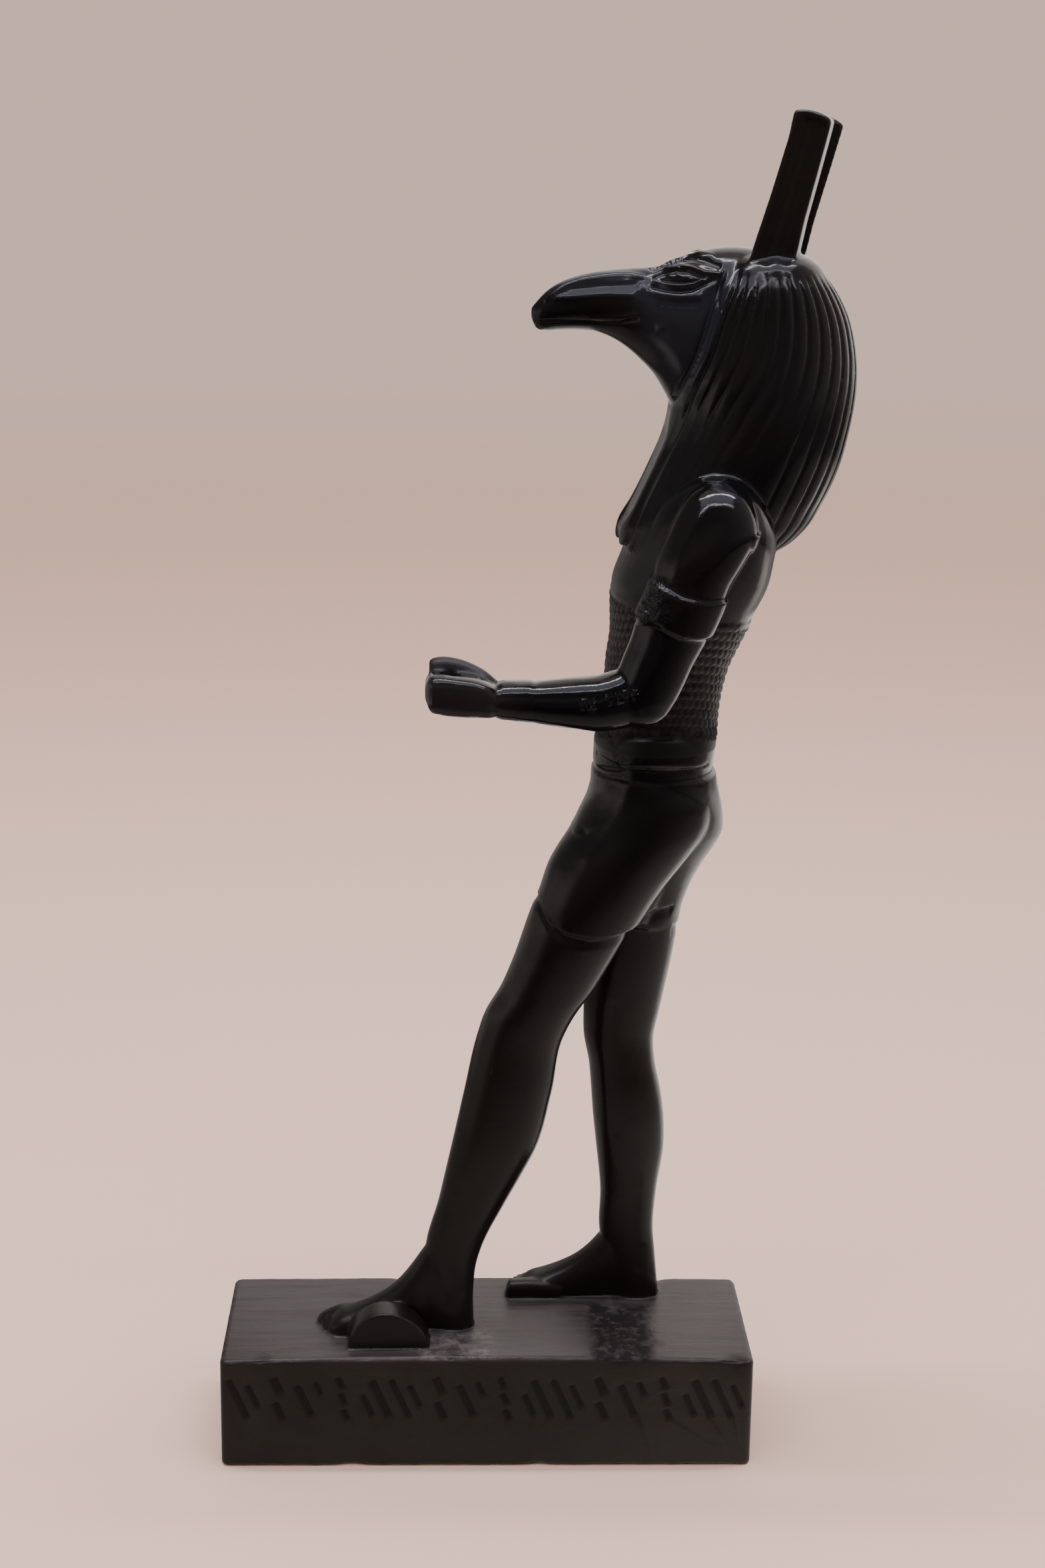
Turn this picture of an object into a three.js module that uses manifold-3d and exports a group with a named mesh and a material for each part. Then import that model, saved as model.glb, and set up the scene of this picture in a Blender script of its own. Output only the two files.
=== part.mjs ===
// Striding animal-headed god on a plinth, a black statuette cast in one piece.
// Millimetres, +Z up. The figure faces -Y and its left side is +X.
// The origin is the centre of the plinth's underside.
import * as THREE from 'three';
import { mergeVertices } from 'three/addons/utils/BufferGeometryUtils.js';
import Module from 'manifold-3d';

const wasm = await Module();
wasm.setup();

// Plinth. The droop is how far its top falls towards both ends. Its top edge is rounded in steps, each an
// inset and a depth below the top.
const PLINTH = { length: 122, width: 42, height: 27.4, corner: 1.6, leastCorner: 0.3, edge: 0.9, droop: 0.7 };
const TOP_EDGE = [[0, 1.35], [0.36, 0.36], [1.26, 0]];
const MIDLINE = -4.6; // the figure stands nearer the plinth's right-hand edge
const SOLE = PLINTH.height - 1.6; // where the feet end inside the plinth

// Row of signs on the plinth's left side, all leaning the same way by degrees, and the strokes of each
// kind of sign: place along Y, height, length and width.
const SIGNS = { depth: 0.55, pitch: 7.4, first: -55.5, last: 55.5, lean: 24 };
const STROKES = [
  [[-1.5, 17, 10.6, 1.8], [1.9, 17.6, 6.2, 1.6]],
  [[0, 20.3, 4.4, 2.2], [0.4, 14, 4.8, 2]],
  [[-1.2, 16.6, 8.4, 2], [2, 19.6, 3.6, 1.6]],
  [[-0.4, 21, 3, 1.8], [0.2, 17, 3.2, 1.8], [0.8, 13, 3, 1.8]],
  [[-1.6, 15.4, 6, 1.7], [1.4, 17, 10.2, 2.1]],
];

// Half-round block beside the forward foot. The power draws its rear slope out longer than its front flank.
const BLOCK = {
  middle: -23.6, front: 8.4, rear: 10.2, slope: 1.15, height: 8.5, face: 16.6, root: 9.4, steps: 12,
};

// Feet. A toe is higher than its radius by the rise, and steps up behind its tip: each step is a distance
// back, a share of the toe's height and a share of its width. The length is that of the toe itself.
const FOOT = { forwardHeel: -2.8, backHeel: 42.1, toeRise: 1.8 };
const TOE_STEPS = [[0, 0.35, 0.5], [0.7, 0.75, 0.9], [2.4, 1, 1]];
const TOE_ROOT = [0.9, 1];

// Edges of the dress. Its hoops stand higher at the hips than in front and behind, by the rise.
// The torso above the corselet starts at the chest.
const DRESS = { belt: 0.45, armBand: 0.8, rise: 2.8, chest: 190 };

// Scaled corselet in stepped rows. Each row leans out over the one below it, up to its ledge.
const CORSELET = { foot: 163, top: 203, rows: 7, proud: 0.3, ledge: 0.3, lean: 0.94 };

// Striped wig, whose grooves fade out towards the crown down to the least share of their depth. Its two
// front ends start at a share of the slot between them.
const WIG = {
  locks: 28, lockDepth: 0.8, fadeTop: 268, fadeSpan: 8, least: 0.1,
  rim: 2.4, rimStep: 0.4, rimProud: 0.3, slot: 5.2, slotShare: 0.85,
};

// Round socket through the fist, at its place in X from the midline, Y and Z
const SOCKET = { radius: 2.2, length: 12, place: [24.9, -9.6, 187] };

// Ears
const EAR = { offset: 7.3, thick: 7, bevel: 1.3, farShift: 2.4, farLean: 0.05 };

// Reach of the cutting slabs: down, up and to both sides of the middle
const CUT = { down: 100, up: 240, side: 60 };
const WELD = 1e-5; // points closer than this are one

// Sections along a limb. Each row is a place on the axis, then the low and high side of the section,
// its half width in X, and the distance of its middle from the figure's midline. Upright limbs have
// their places in Z and their sides in Y, lying limbs have places in Y and sides in Z.
const TORSO = [
  [157.4, 23.3, 49.3, 16.9, 0],
  [166.4, 23.9, 49.6, 16.3, 0],
  [172.4, 24.5, 49.7, 16, 0],
  [178.3, 25.3, 50.3, 16.4, 0],
  [184.3, 25.6, 51.7, 17.8, 0],
  [190.3, 26.4, 54.2, 20, 0],
  [196.3, 26.3, 57, 22.4, 0],
  [202.3, 26.2, 59.8, 24.4, 0],
  [208.2, 28.3, 60.9, 26.2, 0],
  [214.2, 30.3, 61.4, 27.4, 0],
  [219.2, 32.7, 60.2, 27.4, 0],
  [223.2, 35.6, 58.2, 26.2, 0],
  [226.2, 39, 55.2, 24, 0],
  [228, 41.3, 53.3, 20.2, 0],
  [229.8, 43.8, 51.8, 13, 0],
];
const NECK = [
  [220.2, 39.8, 59.8, 9, 0],
  [230.2, 39.4, 59.8, 9.2, 0],
  [238.1, 38.8, 59.8, 9.8, 0],
  [246.1, 38.8, 59.8, 11, 0],
];
const BELT = [
  [157, 23.4, 48.6, 16.6, 0],
  [161, 23.4, 48.8, 17, 0],
  [161.4, 23.1, 49.2, 17.6, 0],
  [166.7, 23.3, 49.2, 17.2, 0],
  [167.1, 23.8, 48.8, 16.8, 0],
];
const KILT_FORWARD = [
  [159.8, 22.3, 48.4, 17.3, 0],
  [156.4, 22.1, 49.2, 17.2, 0.6],
  [153.4, 21.2, 49.6, 16.6, 1.6],
  [150.2, 19.5, 49.4, 15.6, 2.8],
  [146.4, 17.5, 47.9, 14.4, 4.2],
  [143, 15.1, 45.4, 13.5, 5.3],
  [139.4, 12.9, 42.6, 12.7, 6.2],
  [135.3, 11.4, 39.3, 12, 7],
  [131.7, 10.3, 36.8, 11.4, 7.6],
  [127.5, 9.2, 34.3, 10.9, 7.9],
  [122.5, 7.5, 31.4, 10.5, 8.1],
];
const KILT_BACK = [
  [159.8, 22.7, 50.2, 17.3, 0],
  [156.4, 22.7, 50.9, 17.3, -0.6],
  [152.4, 22.8, 51.9, 16.6, -1.9],
  [148.4, 22.9, 52.7, 15.7, -3.1],
  [145, 23, 52.8, 14.6, -4.3],
  [141.5, 23.1, 51.4, 13.6, -5.4],
  [137.5, 23.2, 49.2, 12.6, -6.6],
  [132.5, 23.4, 46.7, 11.7, -7.6],
  [127.5, 23.5, 44.9, 11.1, -8.1],
  [120.5, 23.6, 43, 10.6, -8.4],
];
const KILT_WEB = [
  [156.4, 23.9, 45.8, 13, 0],
  [146.4, 20.3, 46.8, 10, 0],
  [138.5, 18.3, 43.3, 7.5, 0.5],
  [133, 18, 40.5, 6, 0.8],
  [126, 18.1, 37.2, 5, 1],
  [123.8, 19.9, 36, 4.6, 1],
];
const LEG_FORWARD = [
  [140.5, 13.9, 40.8, 11, 6.4],
  [128.5, 8.8, 33.3, 10.2, 7.9],
  [116.5, 4.8, 26.9, 9.2, 8.3],
  [110.1, 2.1, 23.3, 8.5, 8.4],
  [104.6, -1.1, 19.5, 8, 8.5],
  [99.1, -2.9, 16.8, 7.6, 8.5],
  [85.6, -5.8, 14.3, 7.7, 8.5],
  [71.7, -8.7, 10.8, 7.5, 8.5],
  [65.2, -10.1, 7.6, 6.8, 8.5],
  [58.7, -11.5, 4.2, 5.9, 8.5],
  [47.6, -14.4, -1.2, 4.8, 8.5],
  [42.8, -14.6, -2.6, 4.5, 8.5],
  [36.8, -13.6, -3.2, 4.2, 8.4],
  [25.3, -12, -2.9, 3.9, 8.4],
];
const LEG_BACK = [
  [140.5, 23.9, 47.8, 11, -7],
  [126.5, 23.8, 44.6, 10.4, -8.2],
  [112.6, 23.3, 42.4, 9.3, -8.5],
  [99.1, 22.2, 39.9, 7.9, -8.7],
  [93.1, 22.4, 38.8, 7.5, -8.7],
  [86.6, 23.7, 39.3, 7.6, -8.7],
  [80.7, 24.3, 40.6, 7.9, -8.7],
  [73.7, 24.9, 41.7, 7.9, -8.7],
  [66.7, 25.7, 42, 7.3, -8.7],
  [53.8, 27.1, 40.5, 5.4, -8.7],
  [43.8, 27.1, 40, 4.6, -8.7],
  [38.8, 28.1, 40.5, 4.3, -8.6],
  [25.3, 30.9, 41.9, 4, -8.5],
];
// Places in these rows are distances forward of the heel, and the middles are from the midline.
const FOOT_ROWS = [
  [1, SOLE, 31, 2.6, 8.5],
  [3.5, SOLE, 37, 3.7, 8.5],
  [8, SOLE, 43, 4, 8.6],
  [11.5, SOLE, 47.4, 3.8, 8.7],
  [13, SOLE, 45.2, 3.9, 8.8],
  [14.8, SOLE, 42.5, 4, 8.9],
  [17, SOLE, 39.6, 4.2, 9.1],
  [20, SOLE, 36.7, 4.4, 9.3],
  [24, SOLE, 34.2, 4.7, 9.6],
  [28, SOLE, 32.4, 4.9, 9.8],
  [31.5, SOLE, 31.2, 4.8, 9.8],
  [33.5, SOLE, 29.8, 4.2, 9.7],
];
// Toes from the big one outwards: middle from the midline, radius, reach from the heel and length.
const TOES = [
  [6.5, 2.3, 37.2, 13],
  [9.1, 1.6, 36.6, 8.5],
  [10.9, 1.5, 35.9, 8],
  [12.5, 1.4, 34.9, 7.5],
  [13.8, 1.3, 33.6, 7],
];
const UPPER_ARM = [
  [226.8, 44, 49.2, 2.5, 22],
  [224.8, 41, 51.7, 5.2, 22.6],
  [221.2, 38.4, 53.8, 7, 23.4],
  [216.2, 35.9, 54.7, 7.8, 24.2],
  [210.7, 33.7, 52.3, 7.8, 24.8],
  [205.3, 32.5, 49.3, 7.5, 25],
  [199.3, 30, 47.2, 7.3, 25],
  [193.8, 28.5, 44.8, 7.1, 25],
  [188.3, 26.5, 42, 6.9, 25],
  [183.3, 25.1, 39.9, 6.7, 25],
  [179.3, 25.1, 37.9, 6.3, 25],
  [176.4, 26.5, 35.7, 5.2, 25],
  [174.8, 28.9, 32.9, 2.6, 25],
];
const FOREARM = [
  [32.9, 176.4, 186.3, 4.6, 25],
  [27.9, 174.6, 187.3, 6, 25],
  [22.4, 173.7, 185.8, 6.3, 25],
  [16.9, 174.2, 185.2, 6, 25],
  [11.9, 174.8, 184.6, 5.5, 24.9],
  [6.9, 175.6, 184, 5, 24.8],
  [2, 176.3, 183.4, 4.7, 24.7],
  [-3, 176.9, 183.7, 4.8, 24.6],
];
const BRACELET = [
  [7.8, 175.6, 184, 5, 24.8],
  [7.2, 175.4, 184.6, 5.4, 24.8],
  [1.7, 176.1, 184.4, 5.3, 24.7],
  [1.1, 176.3, 183.9, 5, 24.7],
];
const FIST = [
  [0.9, 177.3, 182.5, 3.6, 24.6],
  [-0.6, 176.8, 183.7, 5.2, 24.6],
  [-3.5, 176.9, 185, 6, 24.6],
  [-8, 177.1, 185.8, 6.4, 24.6],
  [-11.8, 177.6, 186.1, 6.3, 24.6],
  [-14, 178.6, 185.5, 5.6, 24.6],
  [-14.9, 180.7, 183.9, 3.6, 24.6],
];
const THUMB = [
  [1.2, 182.1, 183.1, 1.2, 22.4],
  [-2, 182.3, 185.7, 2.4, 21.8],
  [-5, 182.7, 187.2, 2.7, 21.4],
  [-8, 183.1, 188.1, 2.8, 21.2],
  [-11, 183.7, 188.6, 2.7, 21.2],
  [-13.2, 184.9, 188.3, 2.1, 21.3],
  [-13.9, 186.1, 187.7, 1.1, 21.4],
];
const HANGING_ARM = [
  [226.8, 44, 49.2, 2.5, -22],
  [224.8, 41, 51.7, 5.2, -22.6],
  [221.2, 38.6, 53.8, 7, -23.4],
  [215.2, 37.2, 54.4, 7.8, -24],
  [194.3, 36.8, 50.2, 7.1, -23.8],
  [175.4, 35.9, 48, 6.3, -22.6],
  [156.4, 33.3, 43.4, 5.2, -22.4],
  [149.4, 32.7, 41.8, 4.7, -22.6],
  [145.5, 31.9, 42.6, 5.2, -22.8],
  [139.5, 30.9, 43.8, 6, -23],
  [133.5, 31.1, 43.2, 6, -23],
  [130.5, 32.5, 41.4, 4.9, -23],
  [129.5, 34.9, 39.2, 2.6, -23],
];
const HEAD = [
  [7.3, 259, 261.1, 0.8, 0],
  [8.2, 257, 262.2, 2, 0],
  [10.1, 256.4, 264.3, 3, 0],
  [12.9, 256.5, 266.3, 3.8, 0],
  [16.9, 256.6, 267.9, 4.6, 0],
  [21.9, 256.1, 269, 5.4, 0],
  [26.9, 253.8, 269.6, 6.4, 0],
  [30.9, 250.6, 269.9, 7.6, 0],
  [34.4, 246.9, 270.2, 9, 0],
  [36.8, 243, 271.5, 10.2, 0],
  [39.3, 238.6, 272.4, 11.2, 0],
  [43.8, 236.2, 273.8, 12.4, 0],
  [49.8, 236.2, 274.5, 13.2, 0],
  [56.8, 240.1, 274, 12.4, 0],
];
const BELL = [
  [274.4, 56.3, 62.3, 6, 0],
  [272.4, 50.4, 66.9, 11.2, 0],
  [268, 45.3, 71, 14.8, 0],
  [261.1, 40.2, 75.3, 17.5, 0],
  [254, 37.5, 77.4, 19, 0],
  [247, 36.7, 78.1, 20.1, 0],
  [241, 37.7, 77.7, 20.6, 0],
  [235, 37.4, 76.7, 20.8, 0],
  [228, 33.6, 75, 20.7, 0],
  [220, 30, 71.6, 19.9, 0],
  [214, 27.1, 67.8, 18.6, 0],
  [211, 28, 64.4, 18, 0],
  [209.3, 30, 61.2, 17.4, 0],
];
// Front edge of the wig beside the face, from the throat up to the temple, as [Y, Z].
const FACE_EDGE = [
  [36.8, 235], [37.8, 241], [39.8, 246.6], [41.8, 250.8], [43.7, 256.6], [45.4, 262.5], [48, 269.3], [50.3, 275],
];
// Room between the two front ends of the wig, as [Y, Z].
const THROAT = [[10, 200], [40, 200], [40, 246], [10, 246]];
// Outline of the near ear from the side, from its front root up and round to its rear root, as [Y, Z].
const EAR_OUTLINE = [
  [52.2, 268.1], [54, 274], [57.5, 285], [60.8, 298.6], [61.6, 302.1],
  [64.5, 302.3], [67.5, 301.4], [69.6, 300.2], [67.3, 290.1], [64.8, 280], [63.4, 268.1],
];
// Upper and lower edges of the arm band and the corselet's upper edge, from front to back, as [Y, Z].
const BAND_TOP = [[27.9, 208.4], [31.7, 206.8], [34.5, 205.4], [38.5, 203.5], [43.6, 202.3], [53.8, 201.9]];
const BAND_BOTTOM = [[24.9, 200.5], [29.2, 199.1], [33.5, 197.6], [38.5, 195.3], [42.5, 194.5], [53.8, 195.1]];
const CORSELET_TOP = [[19.9, 201.1], [31.9, 199.9], [47.8, 195.9], [65.8, 193.9]];
// Hem of the kilt on the forward and the back thigh, from front to back, as [Y, Z].
const HEM_FORWARD = [
  [2, 136.5], [10.2, 132.5], [12.5, 128.7], [16.4, 126], [21.9, 124.9], [26.9, 125.1], [39.8, 127.5],
];
const HEM_BACK = [[15.9, 127.5], [23.9, 125], [29.9, 122.9], [35.9, 122.1], [51.8, 121.9]];

// Closed ring of points of one section. The form runs from 2, an ellipse, towards a rounded box, and the
// ring stands higher at its two sides in X by the rise.
function ring([place, low, high, half, middle], { axis = 'z', sides = 14, form = 2.2, grow = 0, rise = 0 }) {
  const points = [];
  for (let k = 0; k < sides; k += 1) {
    const angle = (2 * Math.PI * k) / sides;
    const across = Math.sign(Math.cos(angle)) * Math.abs(Math.cos(angle)) ** (2 / form);
    const along = Math.sign(Math.sin(angle)) * Math.abs(Math.sin(angle)) ** (2 / form);
    const x = MIDLINE + middle + across * (half + grow);
    const side = (low + high) / 2 + along * ((high - low) / 2 + grow);
    const level = place + rise * across ** 2;
    points.push(axis === 'z' ? new THREE.Vector3(x, side, level) : new THREE.Vector3(x, level, side));
  }
  return points;
}

// Triangles that close a ring: a fan round one added centre point.
function fan(points) {
  const centre = points.reduce((sum, point) => sum.add(point), new THREE.Vector3());
  const triangles = points.map((_, k) => [points.length, k, (k + 1) % points.length]);
  return { added: [centre.divideScalar(points.length)], triangles };
}

// Triangles that close a ring of two mirrored halves: rungs from each point to its mirror image.
function ladder(points) {
  const last = points.length - 1;
  const triangles = [];
  for (let k = 0; k < points.length / 2 - 1; k += 1) {
    triangles.push([k, k + 1, last - k - 1], [k, last - k - 1, last - k]);
  }
  return { added: [], triangles };
}

// Solid skin over a stack of rings, closed at each end.
function skin(rings, close = fan) {
  const sides = rings[0].length;
  const points = rings.flat();
  const index = [];
  for (let r = 0; r < rings.length - 1; r += 1) {
    for (let k = 0; k < sides; k += 1) {
      const [a, b] = [r * sides + k, r * sides + ((k + 1) % sides)];
      index.push(a, b, b + sides, a, b + sides, a + sides);
    }
  }
  for (const [r, turned] of [[0, true], [rings.length - 1, false]]) {
    const { added, triangles } = close(rings[r]);
    const extra = points.length;
    points.push(...added);
    for (const triangle of triangles) {
      const corners = triangle.map((k) => (k < sides ? r * sides + k : extra + k - sides));
      index.push(...(turned ? corners.reverse() : corners));
    }
  }
  const geometry = new THREE.BufferGeometry().setFromPoints(points);
  geometry.setIndex(index);
  return solid(geometry);
}

// Signed volume of a closed geometry, negative where its faces point inwards.
function signedVolume(geometry) {
  const [a, b, c] = [new THREE.Vector3(), new THREE.Vector3(), new THREE.Vector3()];
  const { position } = geometry.attributes;
  const { array } = geometry.index;
  let sum = 0;
  for (let k = 0; k < array.length; k += 3) {
    a.fromBufferAttribute(position, array[k]);
    b.fromBufferAttribute(position, array[k + 1]);
    c.fromBufferAttribute(position, array[k + 2]);
    sum += a.dot(b.cross(c)) / 6;
  }
  return sum;
}

// Manifold solid of a closed geometry, with its faces turned outwards.
function solid(geometry) {
  geometry.deleteAttribute('normal');
  geometry.deleteAttribute('uv');
  const merged = mergeVertices(geometry, WELD);
  const triangles = Uint32Array.from(merged.index.array);
  if (signedVolume(merged) < 0) {
    for (let k = 0; k < triangles.length; k += 3) {
      [triangles[k], triangles[k + 1]] = [triangles[k + 1], triangles[k]];
    }
  }
  const mesh = new wasm.Mesh({
    numProp: 3,
    vertProperties: Float32Array.from(merged.attributes.position.array),
    triVerts: triangles,
  });
  return new wasm.Manifold(mesh);
}

// Limb through a table of rows.
function limb(rows, options = {}) {
  return skin(rows.map((row) => ring(row, options)));
}

// Prism over a side outline of [Y, Z] points, from one value of X to another, with an optional bevel.
function sidePrism(outline, from, to, bevel = 0) {
  const shape = new THREE.Shape(outline.map(([y, z]) => new THREE.Vector2(y, z)));
  const geometry = new THREE.ExtrudeGeometry(shape, {
    depth: to - from - 2 * bevel,
    bevelEnabled: bevel > 0,
    bevelThickness: bevel,
    bevelSize: bevel,
    bevelOffset: -bevel,
    bevelSegments: 2,
  });
  // The outline's own axes become Y and Z, and the depth becomes X.
  const turn = new THREE.Matrix4().makeBasis(
    new THREE.Vector3(0, 1, 0), new THREE.Vector3(0, 0, 1), new THREE.Vector3(1, 0, 0));
  geometry.applyMatrix4(turn.setPosition(from + bevel, 0, 0));
  return geometry;
}

// Everything above or below a line of [Y, Z] points, as a prism up or down to the given height.
function beyond(line, reach) {
  return solid(sidePrism([...line, [line.at(-1)[0], reach], [line[0][0], reach]], -CUT.side, CUT.side));
}

function union(parts) {
  return parts.reduce((sum, part) => sum.add(part));
}

// Value between the rows of a table at a place on its axis, where column 0 is the place.
function between(rows, place, column) {
  const rising = rows.at(-1)[0] > rows[0][0] ? rows : [...rows].reverse();
  const next = THREE.MathUtils.clamp(rising.findIndex((row) => row[0] > place), 1, rising.length - 1);
  const [a, b] = [rising[next - 1], rising[next]];
  return THREE.MathUtils.mapLinear(place, a[0], b[0], a[column], b[column]);
}

// Plinth with worn edges, its top lower towards both ends, and most of all along the left-hand edge.
function plinth() {
  const { length, width, height, corner, leastCorner, edge, droop } = PLINTH;
  const [perCorner, perSide] = [3, 8];
  const outline = (inset, z, drop) => {
    const [halfLength, halfWidth] = [length / 2 - inset, width / 2 - inset];
    const radius = Math.max(corner - inset / 2, leastCorner);
    const half = [];
    for (let k = 0; k <= perCorner; k += 1) {
      const angle = (Math.PI / 2) * (1 - k / perCorner);
      half.push([halfWidth - radius * (1 - Math.cos(angle)), halfLength - radius * (1 - Math.sin(angle))]);
    }
    for (let k = 1; k < perSide; k += 1) {
      half.push([halfWidth, (halfLength - radius) * (1 - (2 * k) / perSide)]);
    }
    for (let k = perCorner; k >= 0; k -= 1) {
      half.push([half[k][0], -half[k][1]]);
    }
    const mirrored = half.map(([x, y]) => [-x, y]).reverse();
    return [...half, ...mirrored].map(([x, y]) =>
      new THREE.Vector3(x, y, z - drop * (1 + x / width) * ((2 * y) / length) ** 2));
  };
  return skin([
    outline(edge, 0, 0),
    outline(0, edge, 0),
    ...TOP_EDGE.map(([inset, depth]) => outline(inset, height - depth, droop)),
  ], ladder);
}

// Row of shallow strokes in the place of the signs, slanted bars sunk into the plinth's left side.
function signs() {
  const bars = [];
  for (let k = 0; SIGNS.first + k * SIGNS.pitch <= SIGNS.last; k += 1) {
    for (const [offset, z, long, wide] of STROKES[k % STROKES.length]) {
      const bar = new THREE.BoxGeometry(2 * SIGNS.depth, wide, long);
      bar.rotateX(THREE.MathUtils.degToRad(SIGNS.lean));
      bar.translate(PLINTH.width / 2, SIGNS.first + k * SIGNS.pitch + offset, z);
      bars.push(solid(bar));
    }
  }
  return union(bars);
}

// Half-round block: a steep front flank, a round top and a longer slope behind.
function halfBlock() {
  const { middle, front, rear, slope, height, face, root, steps } = BLOCK;
  const outline = [];
  for (let k = 0; k <= steps; k += 1) {
    const angle = (Math.PI * k) / steps;
    const [reach, power] = angle < Math.PI / 2 ? [front, 1] : [rear, slope];
    outline.push([middle - reach * Math.cos(angle), PLINTH.height + height * Math.sin(angle) ** power]);
  }
  return solid(sidePrism([...outline, [middle + rear, SOLE], [middle - front, SOLE]], root, face));
}

// Foot with five toes. The side is 1 for the left foot and -1 for the right.
function foot(heel, side) {
  const rows = FOOT_ROWS.map(([reach, low, high, half, middle]) =>
    [heel - reach, low, high, half, side * middle]);
  const toes = TOES.map(([middle, radius, reach, length]) => {
    const top = PLINTH.height + FOOT.toeRise * radius;
    const toe = [...TOE_STEPS, [length, ...TOE_ROOT]].map(([back, high, wide]) =>
      [heel - reach + back, SOLE, THREE.MathUtils.lerp(SOLE, top, high), wide * radius, side * middle]);
    return limb(toe, { axis: 'y', sides: 8, form: 3 });
  });
  return union([limb(rows, { axis: 'y', sides: 12, form: 2.6 }), ...toes]);
}

// Kilt over both thighs, with cloth stretched between them and its hem cut along each thigh.
function kilt() {
  const forward = limb(KILT_FORWARD, { sides: 22 }).subtract(beyond(HEM_FORWARD, CUT.down));
  const back = limb(KILT_BACK, { sides: 22 }).subtract(beyond(HEM_BACK, CUT.down));
  return union([forward, back, limb(KILT_WEB, { sides: 10 })]);
}

// Corselet of stepped rows, each row overhanging the one below, up to its slanted upper edge.
function corselet() {
  const { foot: low, top, rows, proud, ledge, lean } = CORSELET;
  const { rise } = DRESS;
  const pitch = (top - low) / rows;
  const section = (z) => [z, ...[1, 2, 3, 4].map((column) => between(TORSO, z, column))];
  const rings = [];
  for (let z = low; z < top - pitch / 2; z += pitch) {
    rings.push(ring(section(z), { sides: 22, grow: proud + ledge, rise }));
    rings.push(ring(section(z + pitch * lean), { sides: 22, grow: proud, rise }));
  }
  return skin(rings).subtract(beyond(CORSELET_TOP, CUT.up));
}

// Ring of the wig at one height, from the left edge of the face or of the gap below it, round the back to
// the right edge. A plain raised rim runs along both edges, and grooved locks lie between them.
function wigRing([z, front, rear, half]) {
  const { locks, lockDepth, fadeTop, fadeSpan, least, rim, rimStep, rimProud, slot, slotShare } = WIG;
  const [middle, depth] = [(front + rear) / 2, (rear - front) / 2];
  const edge = between(FACE_EDGE.map(([y, height]) => [height, y]), z, 1);
  const beside = Math.asin(Math.min(slot / half, 1)) * slotShare;
  const face = z > FACE_EDGE[0][1] ? Math.acos(THREE.MathUtils.clamp((middle - edge) / depth, -1, 1)) : 0;
  const start = Math.max(beside, face);
  const first = start + (rim + rimStep) / half;
  const groove = lockDepth * THREE.MathUtils.clamp((fadeTop - z) / fadeSpan, least, 1);
  const at = (angle, proud) => new THREE.Vector3(
    MIDLINE + (half + proud) * Math.sin(angle), middle - (depth + proud) * Math.cos(angle), z);
  const points = [at(start, rimProud), at(start + rim / half, rimProud)];
  for (let k = 0; k <= 2 * locks; k += 1) {
    points.push(at(first + ((Math.PI - first) * k) / locks, k % 2 ? 0 : -groove));
  }
  points.push(at(-start - rim / half, rimProud), at(-start, rimProud));
  return points;
}

// Wig with its two front ends parted by a slot below the throat.
function wig() {
  return skin(BELL.map(wigRing)).subtract(solid(sidePrism(THROAT, MIDLINE - WIG.slot, MIDLINE + WIG.slot)));
}

// One ear, a tall blade with a square-cut top.
function ear(middle, shift, lean) {
  const [rootY, rootZ] = EAR_OUTLINE[0];
  const outline = EAR_OUTLINE.map(([y, z]) => [y - rootY, z - rootZ]);
  const blade = sidePrism(outline, -EAR.thick / 2, EAR.thick / 2, EAR.bevel);
  blade.rotateX(-lean);
  blade.translate(MIDLINE + middle, rootY + shift, rootZ);
  return solid(blade);
}

// Bent left arm with its band, bracelet and closed hand.
function bentArm() {
  const band = limb(UPPER_ARM.slice(3, 9), { grow: DRESS.armBand })
    .subtract(beyond(BAND_TOP, CUT.up))
    .subtract(beyond(BAND_BOTTOM, CUT.down));
  const [x, y, z] = SOCKET.place;
  const hole = new THREE.CylinderGeometry(SOCKET.radius, SOCKET.radius, SOCKET.length, 10);
  hole.rotateX(Math.PI / 2);
  hole.translate(MIDLINE + x, y, z);
  const hand = union([
    limb(FIST, { axis: 'y', form: 3.4 }),
    limb(THUMB, { axis: 'y', sides: 10, form: 2.4 }),
  ]).subtract(solid(hole));
  return union([
    limb(UPPER_ARM),
    band,
    limb(FOREARM, { axis: 'y', form: 2.4 }),
    limb(BRACELET, { axis: 'y', form: 2.4 }),
    hand,
  ]);
}

function figure() {
  return union([
    limb(LEG_FORWARD),
    limb(LEG_BACK),
    foot(FOOT.forwardHeel, 1),
    foot(FOOT.backHeel, -1),
    kilt(),
    limb(BELT, { sides: 22, grow: DRESS.belt, rise: DRESS.rise }),
    limb(TORSO.filter(([z]) => z > DRESS.chest), { sides: 22 }),
    corselet(),
    bentArm(),
    limb(HANGING_ARM),
    limb(NECK),
    limb(HEAD, { axis: 'y', sides: 20, form: 2.3 }),
    wig(),
    ear(EAR.offset, 0, 0),
    ear(-EAR.offset, EAR.farShift, EAR.farLean),
  ]);
}

// Mesh geometry of a finished solid.
function toGeometry(result) {
  const { vertProperties, triVerts, numProp } = result.getMesh();
  const positions = new Float32Array((vertProperties.length / numProp) * 3);
  for (let k = 0; k < positions.length / 3; k += 1) {
    positions.set(vertProperties.subarray(k * numProp, k * numProp + 3), k * 3);
  }
  const geometry = new THREE.BufferGeometry();
  geometry.setAttribute('position', new THREE.BufferAttribute(positions, 3));
  geometry.setIndex(new THREE.BufferAttribute(Uint32Array.from(triVerts), 1));
  geometry.computeVertexNormals();
  return geometry;
}

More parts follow.
